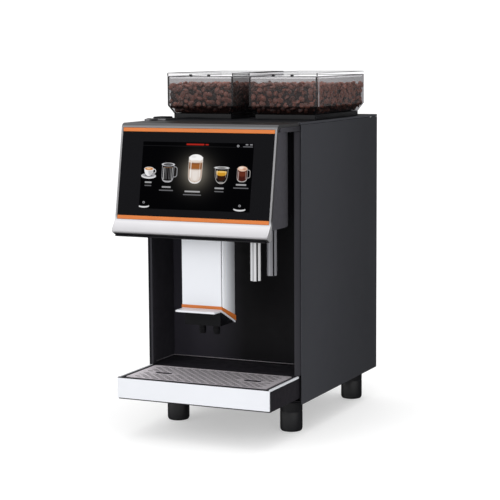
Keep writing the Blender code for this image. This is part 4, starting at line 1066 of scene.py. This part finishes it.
def build_lid(side, name):
    """Clear cap with a dark edge over a grey seal, two lugs in front and a thin line at its front corners."""
    rim, body, front = BIN_HIGH.z, f"lid_{name}", BIN_LOW.y
    for label, finish, low, high, rides in (("seal", "seal", rim - 0.0007, rim + 0.0003, "chassis"),
                                            ("edge", "screw", 0.6291, 0.6299, body)):
        rings = hopper_rings(side, ((low, 0.0001), (high, 0.0001), (high, 0.0015), (low, 0.0015)))
        skin(f"hopper_{name}_{label}", rings, finish, rides, slot="smoked_clear", closed=True)
    levels = ((rim - 0.0036, 0.003), (rim + 0.0005, 0.003), (rim + 0.0005, 0.0002), (0.6288, 0.0002),
              (0.6296, 0.0006), (0.6298, 0.0014))
    bm = bmesh.new()
    bm.faces.new(loft(bm, hopper_rings(side, levels), caps=False)[-1])
    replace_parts(add_piece(f"lid_{name}_cap", bm, "clear_plastic", body), f"hopper_lid_{name}")
    lugs = []
    for offset in (-0.018, 0.018):
        x = side * (BIN_LOW.x + BIN_HIGH.x) / 2 + offset
        lugs.append(((x - 0.0026, front - 0.001, rim + 0.0004), (x + 0.0026, front + 0.002, rim + 0.0037)))
    for x in (side * (BIN_LOW.x + 0.0013), side * (BIN_HIGH.x - 0.0013)):
        lugs.append(((x - 0.001, front + 0.0006, rim + 0.0008), (x + 0.001, front + 0.0014, 0.629)))
    blocks(f"lid_{name}_lugs", lugs, "smoked_base", body, ease=0.0004, slot="smoked_clear")


def build_posts(side, name):
    """Dark posts down a bin's front corners, painted shade for the dark line that thick plastic shows there,
    and a painted highlight beside one.
    """
    leg, thin, rim = 0.003, 0.0008, BIN_HIGH.z - 0.001
    shape = ((0, 0), (leg, 0), (leg, thin), (thin, thin), (thin, leg / 2), (0, leg / 2))
    bm = bmesh.new()
    for x, inward in ((BIN_LOW.x, 1), (BIN_HIGH.x, -1)):
        for ends in (((BIN_SHOULDER, 0.0), (rim, 0.0)), ((BIN_WAIST + 0.0002, 0.009), (BIN_SHOULDER, 0.0))):
            rings = []
            for z, inset in ends:
                corner_x, corner_y = x + inward * (inset + 0.001), BIN_LOW.y + (inset + 0.001)
                rings.append([Vector((side * (corner_x + inward * a), corner_y + b, z)) for a, b in shape])
            loft(bm, rings)
    add_piece(f"hopper_{name}_posts", bm, "smoked_base", "chassis", slot="smoked_clear")
    left, right = sorted((side * (BIN_HIGH.x - 0.0002), side * (BIN_HIGH.x + 0.0002)))
    corners = ((left, BIN_LOW.y + 0.004, BIN_SHOULDER), (right, BIN_LOW.y + 0.007, rim))
    blocks(f"hopper_{name}_glint", [corners], "glint", "chassis", ease=0.0001, slot="smoked_clear")


# ---------------------------------------------------------------- tray, recess, feet and hinge
def build_grate():
    """Brushed plate with staggered rows of short drain slots and two wide finger slots."""
    low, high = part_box("drip_grate")
    low, high = low + Vector((0.002, 0.0032, 0.0)), high - Vector((0.002, 0.0, 0.0))
    outline = rounded_rectangle((low.x, low.y), (high.x, high.y), 0.003)
    rings = prism(outline, (low.z, high.z))
    plate = skin("drip_grate_plate", rings, "grate", "grate", slot="brushed_stainless")
    cutters = bmesh.new()

    def slot_at(x, y, half_long, half_wide):
        near, far = (x - half_long, y - half_wide), (x + half_long, y + half_wide)
        outline = rounded_rectangle(near, far, half_wide * 0.98, 3)
        loft(cutters, prism(outline, (low.z - 0.002, high.z + 0.002)))

    fingers, finger_y = (-0.086, 0.086), FRONT - 0.0655
    for x in fingers:
        slot_at(x, finger_y, 0.0162, 0.0048)
    rows, pitch = 14, 0.0156
    for row in range(rows):
        y = low.y + (row + 0.5) * (high.y - low.y) / rows
        for column in range(-8, 9):
            x = (column + (0.5 if row % 2 else 0.0)) * pitch
            by_finger = abs(y - finger_y) < 0.0085 and any(abs(x - f) < 0.0245 for f in fingers)
            if abs(x) <= high.x - 0.01 and not by_finger:
                slot_at(x, y, 0.0056, 0.0014)
    cut_now(plate, cutters)
    paint(plate, "grate")
    # painted shade: the slot walls take the black moulding finish so the slots read dark
    plate.data.materials.append(FINISHES["black_plastic"].material)
    for face in plate.data.polygons:
        x, y = face.center.xy
        inside = abs(x) < high.x - 0.003 and low.y + 0.003 < y < high.y - 0.003
        face.material_index = int(inside and abs(face.normal.z) < 0.5)
    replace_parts(plate, "drip_grate")


def build_tray_rim():
    """A dark strip along the top of the tray's front."""
    corners = ((TRAY_LOW.x + 0.0008, TRAY_LOW.y - 0.0001, TRAY_HIGH.z - 0.0014),
               (TRAY_HIGH.x - 0.0008, TRAY_LOW.y + 0.003, TRAY_HIGH.z + 0.0002))
    blocks("tray_rim_strip", [corners], "tray_moulding", "tray", ease=0.0003, slot="black_plastic")


def build_feet():
    """Turned rubber feet: a rounded tread below and a groove near the top."""
    for node in [name for name in NODES if name.startswith("foot_")]:
        axis, radius, _, high = round_part(node)
        top = high - 0.003
        profile = [(radius - inset, rise) for inset, rise in
                   ((radius, 0.0), (0.005, 0.0), (0.0022, 0.0008), (0.0006, 0.003), (0.0, 0.006),
                    (0.0, 0.034), (0.0004, 0.035), (0.0004, 0.036), (0.0, 0.037), (0.0, top), (radius, top))]
        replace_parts(turned(f"{node}_turned", profile, axis, "foot_rubber", "chassis", 72), node)


def build_hinge():
    """Upper hinge: a plated strap, a black cap over its screws, and its pin."""
    low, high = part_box("hinge_plate_upper")
    z, rear, front, knuckle = BODY_TOP + 0.0004, FRONT + 0.05, FRONT + 0.004, -0.129
    corners = [(low.x, rear, 0.003), (low.x, low.y, 0.0085), (knuckle, low.y, 0.0085),
               (knuckle, front, 0.004), (high.x, front, 0.003), (high.x, rear, 0.003)]
    bm = bmesh.new()
    loft(bm, prism(filleted(corners, 6), (z, z + 0.0028)))
    head = [(radius, z + rise) for radius, rise in
            ((0, 0.0026), (0.0042, 0.0026), (0.0042, 0.0036), (0.0036, 0.0042), (0, 0.0042))]
    lathe(bm, head, HINGE_PIN, steps=32)
    lathe(bm, collar(0, 0.003, BODY_TOP - 0.011, z + 0.001), HINGE_PIN, steps=24)
    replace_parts(add_piece("hinge_strap", bm, "silver_paint", "chassis", ease=0.0003), "hinge_plate_upper")
    rings = []
    for rise, inset in ((0.0026, 0.0), (0.005, 0.0), (0.0058, 0.0009)):
        near, far = (-0.1425 + inset, FRONT + 0.0115 + inset), (-0.1175 - inset, FRONT + 0.0425 - inset)
        rings.append(ring_at(z + rise, rounded_rectangle(near, far, 0.003)))
    skin("hinge_cap", rings, "black_plastic", "chassis", ease=0.0003)


def build_recess():
    """A thin pale bead round the foot of the cup recess, pale grey as a painted highlight along the joint."""
    low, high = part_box("splash_panel")
    side, back, z = high.x - 0.0008, high.y - 0.0052, low.z + 0.0018
    half = [(side, FRONT + 0.01, z), (side, back - 0.006, z), (side - 0.002, back - 0.002, z),
            (side - 0.006, back, z)]
    bm = bmesh.new()
    tube(bm, [(-x, y, z) for x, y, z in half] + half[::-1], 0.0008, 8)
    add_piece("recess_bead", bm, "bead", "chassis", slot="polished_steel")


# ---------------------------------------------------------------- back
def screw_heads(name, places, radius, body, out=1, finish="screw", height=1.0):
    """Low domed screw heads with hexagon sockets, in one piece, on a face towards +Y or, with out -1, -Y."""
    steps, sixth = 24, math.pi / 3
    levels = ((1.0, 0.0, False), (1.0, 0.22, False), (0.82, 0.46, False), (0.6, 0.56, False),
              (0.54, 0.55, True), (0.5, 0.12, True))
    bm = bmesh.new()
    for place in places:
        rings = []
        for share, level, hexagon in levels:
            rise = radius * height * level if level else -0.001
            ring = []
            for step in range(steps):
                angle = step / steps * math.tau
                flat = math.cos(sixth / 2) / math.cos(angle % sixth - sixth / 2) if hexagon else 1.0
                r = radius * share * flat
                ring.append(Vector(place) + Vector((r * math.cos(angle), out * rise, r * math.sin(angle))))
            rings.append(ring)
        loft(bm, rings)
    add_piece(name, bm, finish, body, slot="zinc_steel")


def build_rear():
    """Screws round the rear panel, and a rim with four screws round the fan's vent."""
    low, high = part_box("rear_panel")
    face, edge, end, rows = high.y, 0.0075, 0.01, 4
    places = [(x, face, low.z + end + (high.z - low.z - 2 * end) * row / (rows - 1))
              for x in (low.x + edge, high.x - edge) for row in range(rows)]
    places += [(0.0, face, low.z + end), (0.0, face, high.z - end)]
    screw_heads("rear_screws", places, 0.0032, "chassis", finish="zinc_steel")
    fan, reach = middle("fan_rotor"), 0.0345
    profile = [(0.0415, face + 0.0001), (0.0445, face + 0.0001), (0.0442, face + 0.0008),
               (0.0418, face + 0.0008)]
    turned("fan_vent_rim", profile, (fan.x, 0, fan.z), "charcoal_paint", "chassis", 72, "Y")
    places = [(fan.x + x, face, fan.z + z) for x in (-reach, reach) for z in (-reach, reach)]
    screw_heads("fan_screws", places, 0.0026, "chassis", finish="zinc_steel")


def build_rating_plate():
    """A plate with plain lines in place of the ratings."""
    f = Finish("rating_plate", tone(196, 196, 199), 0.34, 0.6)
    lines = f.remap(f.math("MODULO", f.axis("Z"), 0.0075), 1.0, 0.0, 0.003, 0.0032)
    inset = f.remap(f.math("ABSOLUTE", f.axis("X")), 1.0, 0.0, 0.0375, 0.0377)
    f.blend_to((88, 88, 92), f.math("MULTIPLY", f.math("MULTIPLY", lines, inset), 0.8))
    f.mottle(60, 0.96, 1.03).rough(300, 0.3, 0.42)
    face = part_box("rear_panel")[1].y
    outline = rounded_rectangle((-0.045, 0.23), (0.045, 0.29), 0.003)
    rings = prism(outline, (face - 0.0002, face + 0.0005), "Y")
    skin("rating_plate", rings, f, "chassis", slot="zinc_steel")


def edging(name, outer, inner, rises, finish, ease=0.0):
    """A raised edging on the rear panel between two outlines, with a height for each."""
    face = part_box("rear_panel")[1].y
    levels = ((outer, 0.0), (outer, rises[0]), (inner, rises[1]), (inner, 0.0))
    rings = [ring_at(face + rise, outline, "Y") for outline, rise in levels]
    skin(name, rings, finish, "chassis", ease, closed=True)


def build_mains():
    """A bezel round the mains inlet and its switch, and the inlet's three pins."""
    low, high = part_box("mains_inlet")
    wide, snug = 0.003, 0.0001
    outer = rounded_rectangle((low.x - wide, low.z - wide), (high.x + wide, high.z + wide), 0.003)
    inner = rounded_rectangle((low.x + snug, low.z + snug), (high.x - snug, high.z - snug), 0.001)
    edging("mains_bezel", outer, inner, (0.001, 0.0012), "black_plastic")
    x, y, z = high.x - 0.013, high.y - 0.018, (low.z + high.z) / 2
    pins = [((x + dx - 0.001, y, z + dz - 0.002), (x + dx + 0.001, y + 0.012, z + dz + 0.002))
            for dx, dz in ((-0.007, -0.003), (0.0, 0.0035), (0.007, -0.003))]
    blocks("mains_pins", pins, "brass", "chassis", ease=0.0002)


def build_water_inlet():
    """A hexagon nut against the rear panel and a thread on the inlet's end."""
    low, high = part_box("water_inlet")
    x, z, radius = (low.x + high.x) / 2, (low.z + high.z) / 2, (high.x - low.x) / 2
    outer, hole = [arc((x, z), radius + out, 0, math.tau, 7)[:6] for out in (0.004, 0.0001)]
    edging("water_inlet_nut", outer, hole, (0.002, 0.0024), "brass", ease=0.0003)
    turns, steps, reach = 4, 96, radius - 0.0001
    path = []
    for step in range(steps + 1):
        angle = step / steps * turns * math.tau
        rise = high.y - 0.0065 + 0.0058 * step / steps
        path.append((x + reach * math.cos(angle), rise, z + reach * math.sin(angle)))
    bm = bmesh.new()
    tube(bm, path, 0.00045, 5)
    add_piece("water_inlet_thread", bm, "brass", "chassis")


def build_post_caps():
    """Dark caps that close the front posts under the top cover."""
    low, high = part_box("front_post_left")[1].z + 0.0003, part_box("top_cover")[0].z - 0.0002
    caps = []
    for side in (-1, 1):
        left, right = sorted((side * 0.1443, side * 0.1388))
        caps.append(((left, FRONT + 0.0004, low), (right, FRONT + 0.06, high)))
    blocks("front_post_caps", caps, "shaded_post_moulding", "chassis", ease=0.0004, slot="charcoal_plastic")


# ---------------------------------------------------------------- inside
def wrap_band(bm, axis, radius, z, half, thick):
    """Adds a band of a half height round an upright axis."""
    low, high, outer = z - half, z + half, radius + thick
    profile = [(radius, low), (outer, low + thick / 2), (outer, high - thick / 2), (radius, high)]
    lathe(bm, profile, axis)


def ribs(bm, axis, count, low, high):
    """Adds copies of a block turned evenly round an upright axis, given by the one that points along +X."""
    for step in range(count):
        turn = Matrix.Translation(axis) @ Matrix.Rotation(step / count * math.tau, 4, "Z")
        bmesh.ops.transform(bm, matrix=turn, verts=block(bm, low, high))


def build_boilers():
    """Foam jackets held by straps, and brass fittings on top."""
    for node, share, foam in (("coffee_boiler", 0.62, 0.0045), ("steam_boiler", 0.66, 0.0025)):
        axis, radius, low, top = round_part(node)
        centre, half = (low + top) / 2, (top - low) * share / 2
        bm = bmesh.new()
        wrap_band(bm, axis, radius - 0.0005, centre, half, foam)
        add_piece(f"{node}_jacket", bm, "jacket", "chassis", slot="foot_rubber")
        bm = bmesh.new()
        for z in (centre - half * 0.6, centre + half * 0.6):
            wrap_band(bm, axis, radius + foam - 0.0006, z, 0.004, 0.0007)
        add_piece(f"{node}_straps", bm, "zinc_steel", "chassis")
        bm = bmesh.new()
        for dx, dy, size in ((0.35, 0.2, 0.005), (-0.35, -0.1, 0.006), (0.0, -0.4, 0.004)):
            profile = [(size * share_out, top + rise) for share_out, rise in
                       ((0, -0.002), (1, -0.002), (1, 0.005), (0.7, 0.0055), (0.7, 0.01), (0, 0.01))]
            lathe(bm, profile, (axis[0] + dx * radius, axis[1] + dy * radius, 0), steps=24)
        add_piece(f"{node}_fittings", bm, "brass", "chassis")


def build_grinders():
    """Bands and cooling fins round the motors, and a knurled setting ring round each grinder."""
    for side in ("left", "right"):
        axis, radius, low, high = round_part(f"grinder_motor_{side}")
        bm = bmesh.new()
        for z in (low + 0.012, high - 0.014):
            wrap_band(bm, axis, radius - 0.0003, z, 0.003, 0.0012)
        ribs(bm, axis, 24, (radius - 0.0008, -0.0006, low + 0.02), (radius + 0.0016, 0.0006, high - 0.022))
        add_piece(f"grinder_motor_{side}_fins", bm, "motor_case", "chassis")
        axis, radius, low, high = round_part(f"grinder_housing_{side}")
        z = high - 0.016
        bm = bmesh.new()
        wrap_band(bm, axis, radius - 0.0003, z, 0.004, 0.0014)
        ribs(bm, axis, 40, (radius + 0.0008, -0.001, z - 0.003), (radius + 0.0022, 0.001, z + 0.003))
        add_piece(f"grinder_{side}_setting_ring", bm, "zinc_steel", "chassis")


def build_hoses():
    """Silicone hoses from inlet to pump, from boiler to brew chamber, and from steam boiler to steam tube."""
    pump_top, pump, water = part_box("water_pump")[1].z, middle("water_pump"), middle("water_inlet")
    boiler, steam, chamber = middle("coffee_boiler"), middle("steam_boiler"), middle("brew_chamber")
    boiler.z, steam.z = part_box("coffee_boiler")[1].z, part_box("steam_boiler")[1].z
    chamber.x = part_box("brew_chamber")[0].x
    paths = {
        "inlet_hose": [
            (pump.x + 0.02, pump.y, pump_top - 0.004), (pump.x + 0.034, pump.y, pump_top + 0.022),
            (0.0, pump.y + 0.01, 0.172), (0.03, REAR - 0.028, 0.15), (0.06, REAR - 0.026, 0.158),
            (water.x - 0.004, REAR - 0.037, water.z)],
        "brew_hose": [
            boiler + Vector((0.0126, 0.0072, 0.008)), boiler + Vector((0.016, 0.008, 0.03)),
            boiler + Vector((0.03, -0.04, 0.02)), (chamber.x - 0.012, chamber.y + 0.03, 0.34),
            (chamber.x - 0.01, chamber.y + 0.006, 0.318), (chamber.x + 0.002, chamber.y, 0.312)],
        "steam_hose": [
            steam + Vector((-0.0168, -0.0048, 0.008)), steam + Vector((-0.016, -0.01, 0.034)),
            (steam.x + 0.006, steam.y - 0.09, 0.352), (0.118, FRONT + 0.06, 0.395),
            (0.118, FRONT + 0.014, 0.4)],
    }
    for name, path in paths.items():
        bm = bmesh.new()
        tube(bm, smooth_path(path), 0.0032, 14)
        add_piece(name, bm, "hose", "chassis", slot="clear_plastic")
        bm = bmesh.new()
        for end, toward in ((path[0], path[1]), (path[-1], path[-2])):
            run = (Vector(toward) - Vector(end)).normalized()
            tube(bm, [Vector(end) + run * 0.003, Vector(end) + run * 0.008], 0.004, 16)
        add_piece(f"{name}_clips", bm, "zinc_steel", "chassis")


def build_wires():
    """Two looms of three wires from the board up towards the head."""
    low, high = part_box("control_board")
    x = high.x + 0.001
    for offset, finish, name in ((0.0, "red_wire", "power_wires"), (0.004, "blue_wire", "signal_wires")):
        bm = bmesh.new()
        for strand in range(3):
            lift = strand * 0.0028
            path = [(x, low.y + 0.03 + offset, high.z - 0.02 - lift),
                    (x + 0.012 + offset, low.y + 0.04, high.z + 0.01 + lift),
                    (-0.118 + offset, 0.09, 0.352 + lift),
                    (-0.128, 0.11 + offset, 0.4), (-0.12, 0.12, 0.47 + lift)]
            tube(bm, smooth_path(path, 8), 0.0011, 8)
        add_piece(name, bm, finish, "chassis", slot="board_green")


def build_bolts():
    """Bolts on the front of the brew frame, and flush screws round the back of the head."""
    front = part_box("brew_frame")[0].y
    places = [(x, front, z) for z in (0.246, 0.443) for x in (-0.036, 0.036)]
    screw_heads("brew_frame_bolts", places, 0.003, "chassis", out=-1)
    low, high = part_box("head_shell")
    lower, upper = low.z + 0.012, high.z - 0.014
    places = [(x, high.y, z) for x in (low.x + 0.02, high.x - 0.07) for z in (lower, upper)]
    places += [(-0.04, high.y, upper), (high.x - 0.018, high.y, upper), (high.x - 0.018, high.y, lower)]
    screw_heads("door_back_screws", places, 0.0026, "door", height=0.25)


def build_board():
    """Chips, capacitors and connectors on the control board."""
    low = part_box("control_board")[0]
    face, pitch = low.x + 0.003, 0.0245
    rng = random.Random(7)
    chips, cans, plugs = bmesh.new(), bmesh.new(), bmesh.new()
    for row in range(9):
        for column in range(5):
            y = low.y + 0.014 + column * pitch + rng.uniform(-0.003, 0.003)
            z = low.z + 0.016 + row * pitch + rng.uniform(-0.003, 0.003)
            kind = rng.random()
            if kind < 0.55:
                half_y, half_z = rng.uniform(0.003, 0.008), rng.uniform(0.003, 0.007)
                top = face + rng.uniform(0.0015, 0.003)
                block(chips, (face - 0.001, y - half_y, z - half_z), (top, y + half_y, z + half_z))
            elif kind < 0.78:
                size = rng.uniform(0.003, 0.005)
                can = [(0, 0), (size, 0), (size, 0.008), (size * 0.8, 0.0085), (0, 0.0085)]
                lathe(cans, can, (face - 0.0005, y, z), "X", 20)
            else:
                block(plugs, (face - 0.001, y - 0.008, z - 0.003), (face + 0.007, y + 0.008, z + 0.003))
    add_piece("board_chips", chips, "black_plastic", "chassis", ease=0.0002)
    add_piece("board_capacitors", cans, "zinc_steel", "chassis")
    add_piece("board_connectors", plugs, "hose", "chassis", ease=0.0003, slot="clear_plastic")


# ---------------------------------------------------------------- stage
def light_room(tree):
    """White to the camera. As light it is bright in front and above, and dim behind and at the sides."""
    room = Nodes(tree)
    axes = room.node("SeparateXYZ", {0: room.node("TexCoord").outputs["Generated"]}).outputs
    level = None
    for axis, start, end, low, high in (("Y", -0.5, 0.45, 0.74, 0.06), ("Z", 0.1, 0.95, 0.0, 0.45),
                                        ("X", -0.9, 0.9, 0.14, 0.0), ("Z", -0.35, 0.05, -0.62, 0.0)):
        ramp = room.remap(axes[axis], low, high, start, end, interpolation_type="SMOOTHSTEP")
        level = ramp if level is None else room.math("ADD", level, ramp)
    white = (1.0, 1.0, 1.0, 1.0)
    lit = room.node("Background", {"Color": white, "Strength": room.math("MAXIMUM", level, 0.04)}).outputs[0]
    plain = room.node("Background", {"Color": white}).outputs[0]
    camera = room.node("LightPath").outputs["Is Camera Ray"]
    seen = room.node("MixShader", {0: camera, 1: lit, 2: plain}).outputs[0]
    tree.links.new(seen, tree.nodes["World Output"].inputs["Surface"])


def build_sweep():
    """A pale sheet that runs back under the machine and up behind it."""
    bend, edge, drop = 1.5, 2.5, 0.0002
    run = [(-6.0, 0.0), (edge, 0.0)]
    run += [(edge + bend * math.sin(a), bend - bend * math.cos(a)) for a in np.linspace(0.1, math.pi / 2, 12)]
    run += [(edge + bend, 6.0)]
    bm = bmesh.new()
    rows = [[bm.verts.new((x, y, z - drop)) for y, z in run] for x in (-8.0, 8.0)]
    for i in range(len(run) - 1):
        bm.faces.new((rows[0][i], rows[1][i], rows[1][i + 1], rows[0][i + 1]))
    mesh = as_mesh("sweep", bm)
    mesh.shade_smooth()
    f = Finish("pale_paper", (0.64, 0.64, 0.64, 1.0), 0.8, specular=0.05, **{"Emission Strength": 0.42})
    f.shader.inputs["Emission Color"].default_value = (1.0, 1.0, 1.0, 1.0)
    sweep = paint(in_scene("sweep", mesh), f.mottle(2, 0.99, 1.01))
    sweep.visible_glossy = False


def lamp(name, place, size, watts):
    """A soft area light that looks at the middle of the machine and leaves no mirror image."""
    light = bpy.data.lights.new(name, "AREA")
    light.shape = "RECTANGLE"
    light.size, light.size_y = size
    light.energy = watts
    obj = in_scene(name, light)
    obj.location = place
    obj.rotation_euler = (Vector((0, 0, 0.3)) - Vector(place)).to_track_quat("-Z", "Y").to_euler()
    obj.visible_glossy = False


def build_stage():
    """The sweep, soft light all round, and the camera."""
    scene = bpy.context.scene
    build_sweep()
    scene.world = bpy.data.worlds.new("studio")
    scene.world.use_nodes = True
    light_room(scene.world.node_tree)
    lamp("key", (-1.6, -2.8, 1.6), (1.6, 1.6), 26)
    lamp("overhead", (0.2, 0.3, 2.6), (2.2, 1.6), 18)
    lamp("fill", (2.4, -2.4, 1.1), (1.4, 1.4), 16)

    camera = in_scene("camera", bpy.data.cameras.new("camera"))
    camera.data.sensor_width = 36.0
    camera.data.lens = 116.3
    camera.data.clip_end = 50.0
    place = Matrix.Translation((1.2297, FRONT - 2.5355, 0.675))
    turn = Matrix.Rotation(0.4347, 4, "Z") @ Matrix.Rotation(math.pi / 2 - 0.1249, 4, "X")
    camera.matrix_world = place @ turn @ Matrix.Rotation(-0.0067, 4, "Z")
    scene.camera = camera
    scene.view_settings.view_transform = "Standard"


def build_scene():
    dress_nodes()
    for build in (build_fascia, build_screen, build_spout, build_outlets, build_hoppers, build_grate,
                  build_tray_rim, build_feet, build_recess, build_hinge, build_rear, build_rating_plate,
                  build_mains, build_water_inlet, build_post_caps, build_boilers, build_grinders, build_board,
                  build_hoses, build_wires, build_bolts):
        build()


build_scene()
build_stage()
